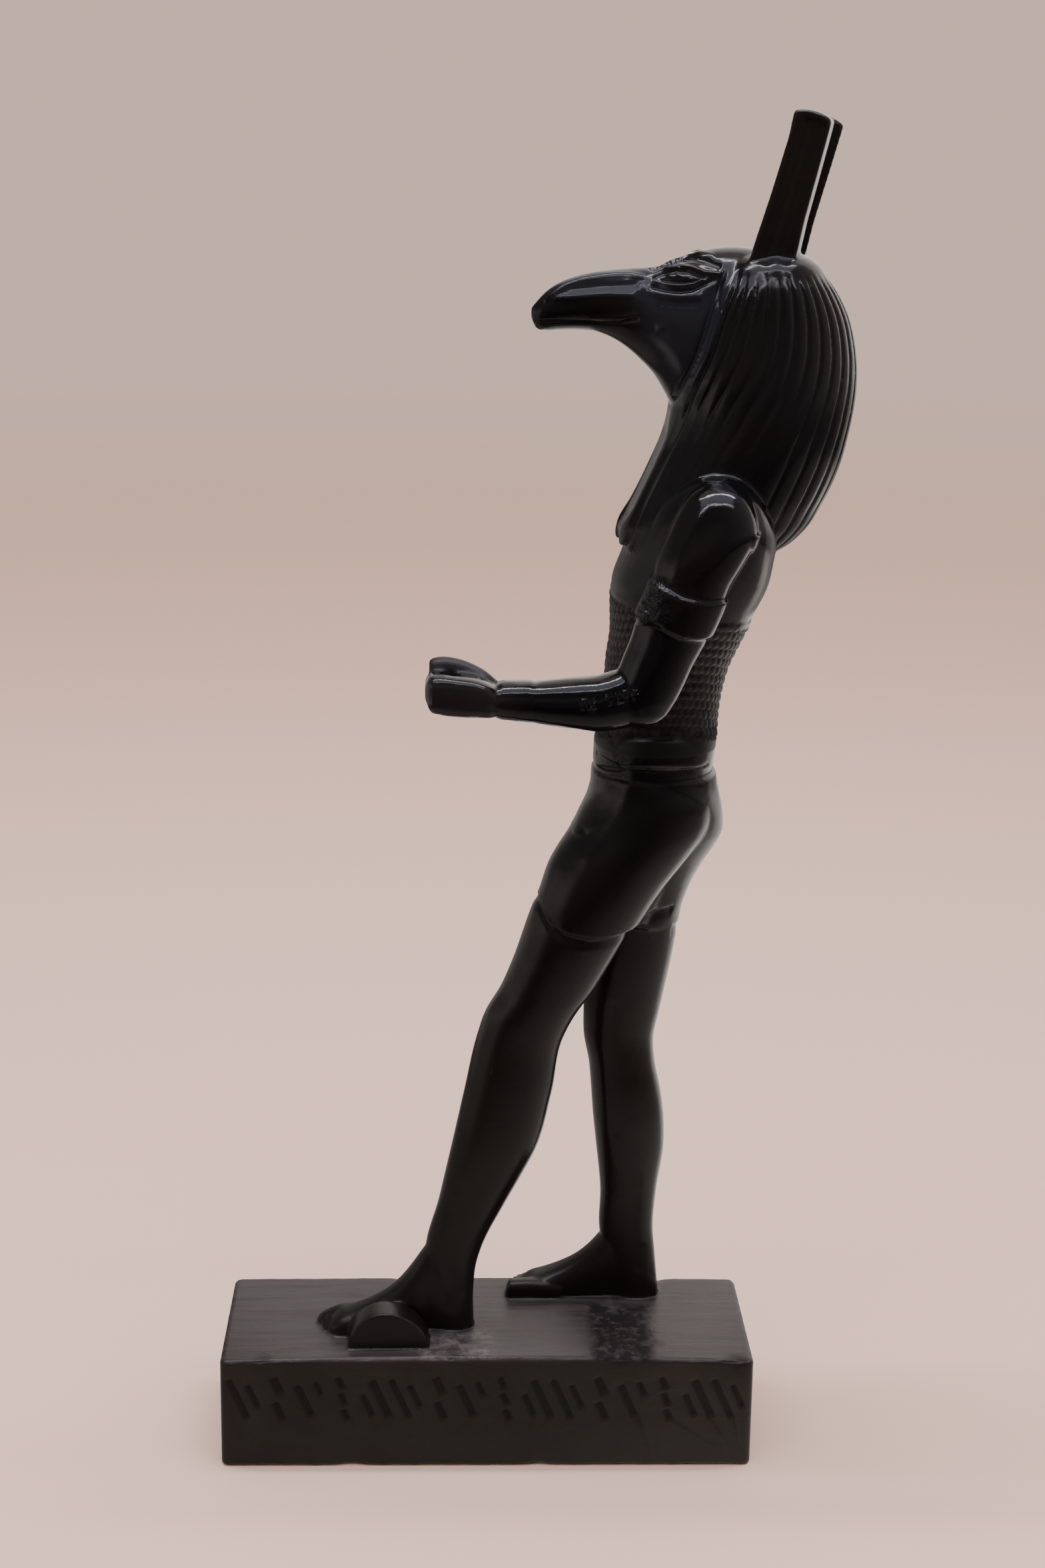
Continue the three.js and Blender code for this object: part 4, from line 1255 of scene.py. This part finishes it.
@dataclass(frozen=True)
class Casting:
    """The whole statuette as one closed skin."""

    plinth: Plinth = Plinth()
    legs: Legs = Legs()
    dress: Dress = Dress()
    arms: Arms = Arms()
    head: Head = Head()
    voxel: float = 0.42
    passes: int = 3
    most: int = 194000
    fine: Sequence[tuple[tuple[float, float, float], tuple[float, float, float]]] = (
        ((-20, 6, 240), (12, 50, 276)),
    )

    def build(self) -> bpy.types.Mesh:
        """Fuses all forms into one skin, carves its relief and thins it.

        Returns:
            The finished mesh, in metres.
        """
        form = new_form()
        for part in (self.plinth, self.legs, self.dress, self.arms, self.head):
            part.build(form)
            logging.info("%s: %d faces so far", type(part).__name__, len(form.faces))
        rough = solid_of(form, "rough casting")
        fuse = rough.modifiers.new("fuse", "REMESH")
        fuse.mode, fuse.voxel_size, fuse.adaptivity = "VOXEL", self.voxel, 0.0
        soften = rough.modifiers.new("soften", "SMOOTH")
        soften.factor, soften.iterations = 0.5, self.passes
        mesh = settled(rough)
        logging.info("fused skin: %d faces", len(mesh.polygons))
        self.refine(mesh)
        self.carve(mesh)
        skin = bpy.data.objects.new("skin", mesh)
        bpy.context.scene.collection.objects.link(skin)
        triangles = sum(len(face.vertices) - 2 for face in mesh.polygons)
        if triangles > self.most:
            thin = skin.modifiers.new("thin", "DECIMATE")
            thin.ratio = self.most / triangles
        mesh = settled(skin)
        mesh.transform(Matrix.Scale(MM, 4))
        return mesh

    def refine(self, mesh: bpy.types.Mesh) -> None:
        """Halves the faces of the skin inside the boxes of fine relief."""
        form = bmesh.new()
        form.from_mesh(mesh)
        edges = []
        for low, high in self.fine:
            edges += [
                edge
                for edge in form.edges
                if all(a <= c <= b for vert in edge.verts for a, c, b in zip(low, vert.co, high))
            ]
        bmesh.ops.subdivide_edges(form, edges=edges, cuts=1, use_grid_fill=True)
        bmesh.ops.triangulate(form, faces=[face for face in form.faces if len(face.verts) > 4])
        form.to_mesh(mesh)
        form.free()

    def carve(self, mesh: bpy.types.Mesh) -> None:
        """Moves the skin's vertices along their normals for all relief that is finer than the forms."""
        count = len(mesh.vertices)
        at, facing = np.empty(count * 3, np.float32), np.empty(count * 3, np.float32)
        mesh.vertices.foreach_get("co", at)
        mesh.vertex_normals.foreach_get("vector", facing)
        at, facing = at.reshape(-1, 3).astype(float), facing.reshape(-1, 3).astype(float)
        for part in (self.plinth, self.legs, self.dress, self.arms, self.head):
            at += facing * part.carve(at, facing)[:, None]
        mesh.vertices.foreach_set("co", at.astype(np.float32).ravel())
        mesh.update()

    def dress_up(self, mesh: bpy.types.Mesh) -> bpy.types.Object:
        """Gives the skin its marks of hollows and edges and its two finishes.

        Args:
            mesh: The finished mesh.

        Returns:
            The statuette's object.
        """
        for finish in (PolishedCasting(), ScuffedPlinth()):
            mesh.materials.append(finish.make())
        count = len(mesh.vertices)
        at, facing = np.empty(count * 3), np.empty(count * 3)
        mesh.vertices.foreach_get("co", at)
        mesh.vertex_normals.foreach_get("vector", facing)
        at, facing = at.reshape(-1, 3) / MM, facing.reshape(-1, 3)
        pairs = np.empty(len(mesh.edges) * 2, np.int64)
        mesh.edges.foreach_get("vertices", pairs)
        a, b = pairs.reshape(-1, 2).T
        degree = np.bincount(a, minlength=count) + np.bincount(b, minlength=count)

        def around(values: Array) -> Array:
            """Mean of each vertex's neighbours."""
            total = np.bincount(a, values[b], count) + np.bincount(b, values[a], count)
            return total / np.maximum(degree, 1)

        mean = np.column_stack([around(at[:, k]) for k in range(3)])
        length = around(np.zeros(count)) + np.sqrt(
            (np.bincount(a, ((at[a] - at[b]) ** 2).sum(1), count) + np.bincount(b, ((at[a] - at[b]) ** 2).sum(1), count))
            / np.maximum(degree, 1))
        bend = ((mean - at) * facing).sum(1) / np.maximum(length, 1e-6) ** 2
        for _ in range(6):
            bend = 0.5 * bend + 0.5 * around(bend)
        marks = {
            "hollow": bend / 0.35,
            "edge": -bend / 0.35,
            "scaled": self.dress.scaled(at)[0],
            "incised": self.plinth.incised(at, facing),
        }
        for name, values in marks.items():
            layer = mesh.attributes.new(name, "FLOAT", "POINT")
            layer.data.foreach_set("value", np.clip(values, 0, 1).astype(np.float32))
        middles = np.empty(len(mesh.polygons) * 3)
        mesh.polygons.foreach_get("center", middles)
        low = middles.reshape(-1, 3)[:, 2] < (self.plinth.height + 0.1) * MM
        mesh.polygons.foreach_set("material_index", low.astype(np.int32))
        mesh.shade_smooth()
        made = bpy.data.objects.new("statuette_casting", mesh)
        bpy.context.scene.collection.objects.link(made)
        return made


# ---------------------------------------------------------------------------------------------------------
# Studio


@dataclass(frozen=True)
class Studio:
    """Camera, soft lights and a plain pale floor."""

    stand: tuple[float, float, float] = (515.356, -9.698, 283.823)
    focus: float = 3565.916
    frame_height: float = 2352.0
    pitch: float = 0.24149
    yaw: float = 0.03185
    roll: float = -0.01421
    floor_tone: tuple[float, float, float] = (0.92, 0.67, 0.55)
    floor_reach: float = 6.0
    fade: tuple[float, float] = (0.5, 3.5)
    low_air: tuple[float, float, float] = (0.80, 0.58, 0.49)
    high_air: tuple[float, float, float] = (0.84, 0.69, 0.62)
    air_strength: float = 1.0
    screen_radius: float = 1.5
    screen_height: float = 2.3
    screen_lift: float = 0.0006
    screen_tone: tuple[float, float, float] = (1.5, 1.38, 1.30)

    def build(self) -> None:
        """Sets up camera, floor, air, screen and lights."""
        self.add_camera()
        self.add_floor()
        self.add_screen()
        self.add_air()
        aim = (0.0, 0.02, 0.18)
        self.add_light("upper strip", (-0.08, 0.02, 1.15), aim, (1.3, 0.06), 8.5, (0.93, 0.92, 1.0))
        self.add_light("near strip", (0.50, 0.02, 1.02), aim, (1.3, 0.025), 2.6, (0.95, 0.92, 1.0))
        self.add_light("soft panel", (0.22, 0.02, 1.12), aim, (1.3, 0.45), 3.4, (0.66, 0.70, 1.0))

    def add_camera(self) -> None:
        """Adds the camera at the photograph's place."""
        ahead = Vector((-math.cos(self.yaw), math.sin(self.yaw), 0))
        right = Vector((math.sin(self.yaw), math.cos(self.yaw), 0))
        up = math.sin(self.pitch) * ahead + math.cos(self.pitch) * Vector((0, 0, 1))
        look = math.cos(self.pitch) * ahead - math.sin(self.pitch) * Vector((0, 0, 1))
        side = math.cos(self.roll) * right - math.sin(self.roll) * up
        top = math.sin(self.roll) * right + math.cos(self.roll) * up
        data = bpy.data.cameras.new("camera")
        data.sensor_width = 36.0
        data.lens = self.focus / self.frame_height * 36.0
        data.clip_start, data.clip_end = 0.01, 50.0
        camera = bpy.data.objects.new("camera", data)
        bpy.context.scene.collection.objects.link(camera)
        turn = Matrix((side, top, -look)).transposed().to_4x4()
        camera.matrix_world = Matrix.Translation(Vector(self.stand) * MM) @ turn
        bpy.context.scene.camera = camera

    def add_sheet(self, name: str, form: bmesh.types.BMesh) -> tuple[bpy.types.Object, Shader]:
        """Adds a matt sheet of the studio that glows by a tone still to be set.

        Args:
            name: Name of the sheet.
            form: Its shape, in metres.

        Returns:
            The sheet's object and its material.
        """
        mesh = bpy.data.meshes.new(name)
        form.to_mesh(mesh)
        form.free()
        shader = Shader(name)
        shader.surface.inputs["Roughness"].default_value = 0.9
        shader.surface.inputs["Specular IOR Level"].default_value = 0.0
        shader.surface.inputs["Emission Strength"].default_value = self.air_strength
        mesh.materials.append(shader.material)
        sheet = bpy.data.objects.new(name, mesh)
        bpy.context.scene.collection.objects.link(sheet)
        return sheet, shader

    def add_floor(self) -> None:
        """Adds the pale floor, which turns into the colour of the air far from the statuette."""
        form = bmesh.new()
        bmesh.ops.create_grid(form, x_segments=1, y_segments=1, size=self.floor_reach)
        _, shader = self.add_sheet("floor", form)
        place = shader.node("ShaderNodeTexCoord", {}, (), "Object")
        away = shader.node("ShaderNodeVectorMath", {"operation": "LENGTH"}, [place], "Value").step(*self.fade)
        none = (0.0, 0.0, 0.0)
        shader.feed(shader.surface.inputs["Base Color"], shader.blend(away, self.floor_tone, none))
        shader.feed(shader.surface.inputs["Emission Color"], shader.blend(away, none, self.low_air))

    def add_screen(self) -> None:
        """Adds the round screen that only the gloss of the statuette sees.

        It is black towards the camera. On the left a grey wall starts sharply, on the right the tone grows towards
        the back, where it is brightest, and the floor close to the plinth is dim.
        """
        form = bmesh.new()
        wide = self.screen_radius
        bmesh.ops.create_cone(form, cap_ends=True, segments=64, radius1=wide, radius2=wide, depth=self.screen_height)
        form.normal_update()
        bmesh.ops.delete(form, geom=[face for face in form.faces if face.normal.z > 0.9], context="FACES")
        bmesh.ops.translate(form, vec=(0, 0, self.screen_height / 2 + self.screen_lift), verts=form.verts)
        screen, shader = self.add_sheet("screen", form)
        place = shader.node("ShaderNodeTexCoord", {}, (), "Object")
        x, y, height = (shader.node("ShaderNodeSeparateXYZ", {}, [place], axis) for axis in "XYZ")
        turn = shader.node("ShaderNodeMath", {"operation": "ARCTAN2"}, [y, x]) * math.degrees(1)
        away = (x * x + y * y) ** 0.5
        left = turn.step(-44, -64) * (0.95 - turn.step(-62, -105) * 0.36 - turn.step(-105, -144) * 0.26)
        right = turn.step(-12, 112) * 0.44 + turn.step(112, 121) * 0.8
        near = away.step(0.42, 0.12) * 0.42 + away.step(0.9, 1.3) * 0.08
        front = height.step(0.2, 0.5) * height.step(1.2, 0.7) * turn.step(30, -5) * turn.step(-56, -40) * 0.14
        low = away.step(0.68, 0.92) * height.step(0.3, 0.0) * 0.7
        beyond = turn.step(-100, -130)
        rear = turn.step(-156, -172) * height.step(0.22, 0.40) * 0.75
        left = left * away.step(0.36, 0.6) * (height.step(0.8, 0.3) * 0.86 + 0.14)
        left = left * (1 - low * (1 - beyond)) * (1 - beyond * height.step(0.08, 0.22) * 0.65)
        tone = left + right * (1 - low) + rear + near + front
        shader.surface.inputs["Base Color"].default_value = (0.0, 0.0, 0.0, 1.0)
        shader.feed(shader.surface.inputs["Emission Color"], shader.blend(tone * 0.75, (0.0, 0.0, 0.0), self.screen_tone))
        screen.visible_camera = screen.visible_diffuse = screen.visible_shadow = False

    def add_air(self) -> None:
        """Sets the pale surroundings, as dark at the horizon as the far floor and paler above."""
        world = bpy.data.worlds.new("surroundings")
        world.use_nodes = True
        air = Nodes(world.node_tree)
        ground = world.node_tree.nodes["Background"]
        towards = air.node("ShaderNodeTexCoord", {}, (), "Generated")
        height = air.node("ShaderNodeSeparateXYZ", {}, [towards], "Z")
        air.feed(ground.inputs["Color"], air.blend(height.step(0.08, 0.40), self.low_air, self.high_air))
        ground.inputs["Strength"].default_value = self.air_strength
        bpy.context.scene.world = world

    def add_light(
        self,
        name: str,
        place: tuple[float, float, float],
        target: tuple[float, float, float],
        size: tuple[float, float],
        power: float,
        tone: tuple[float, float, float],
    ) -> None:
        """Adds a soft rectangular light.

        Args:
            name: Name of the light.
            place: Where it stands, in metres.
            target: What it points at.
            size: Its two sides.
            power: Its power in watts.
            tone: Its colour.
        """
        data = bpy.data.lights.new(name, "AREA")
        data.shape = "RECTANGLE"
        data.size, data.size_y = size
        data.energy = power
        data.color = tone
        light = bpy.data.objects.new(name, data)
        bpy.context.scene.collection.objects.link(light)
        light.location = place
        light.rotation_euler = (Vector(target) - Vector(place)).to_track_quat("-Z", "Y").to_euler()


def main() -> None:
    """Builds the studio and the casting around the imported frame."""
    logging.basicConfig(level=logging.INFO, format="%(message)s")
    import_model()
    Studio().build()
    casting = Casting()
    statuette = casting.dress_up(casting.build())
    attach(statuette, "root")
    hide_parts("statuette")
    logging.info("%s: %d triangles", statuette.name, sum(len(p.vertices) - 2 for p in statuette.data.polygons))


if __name__ == "__main__":
    main()
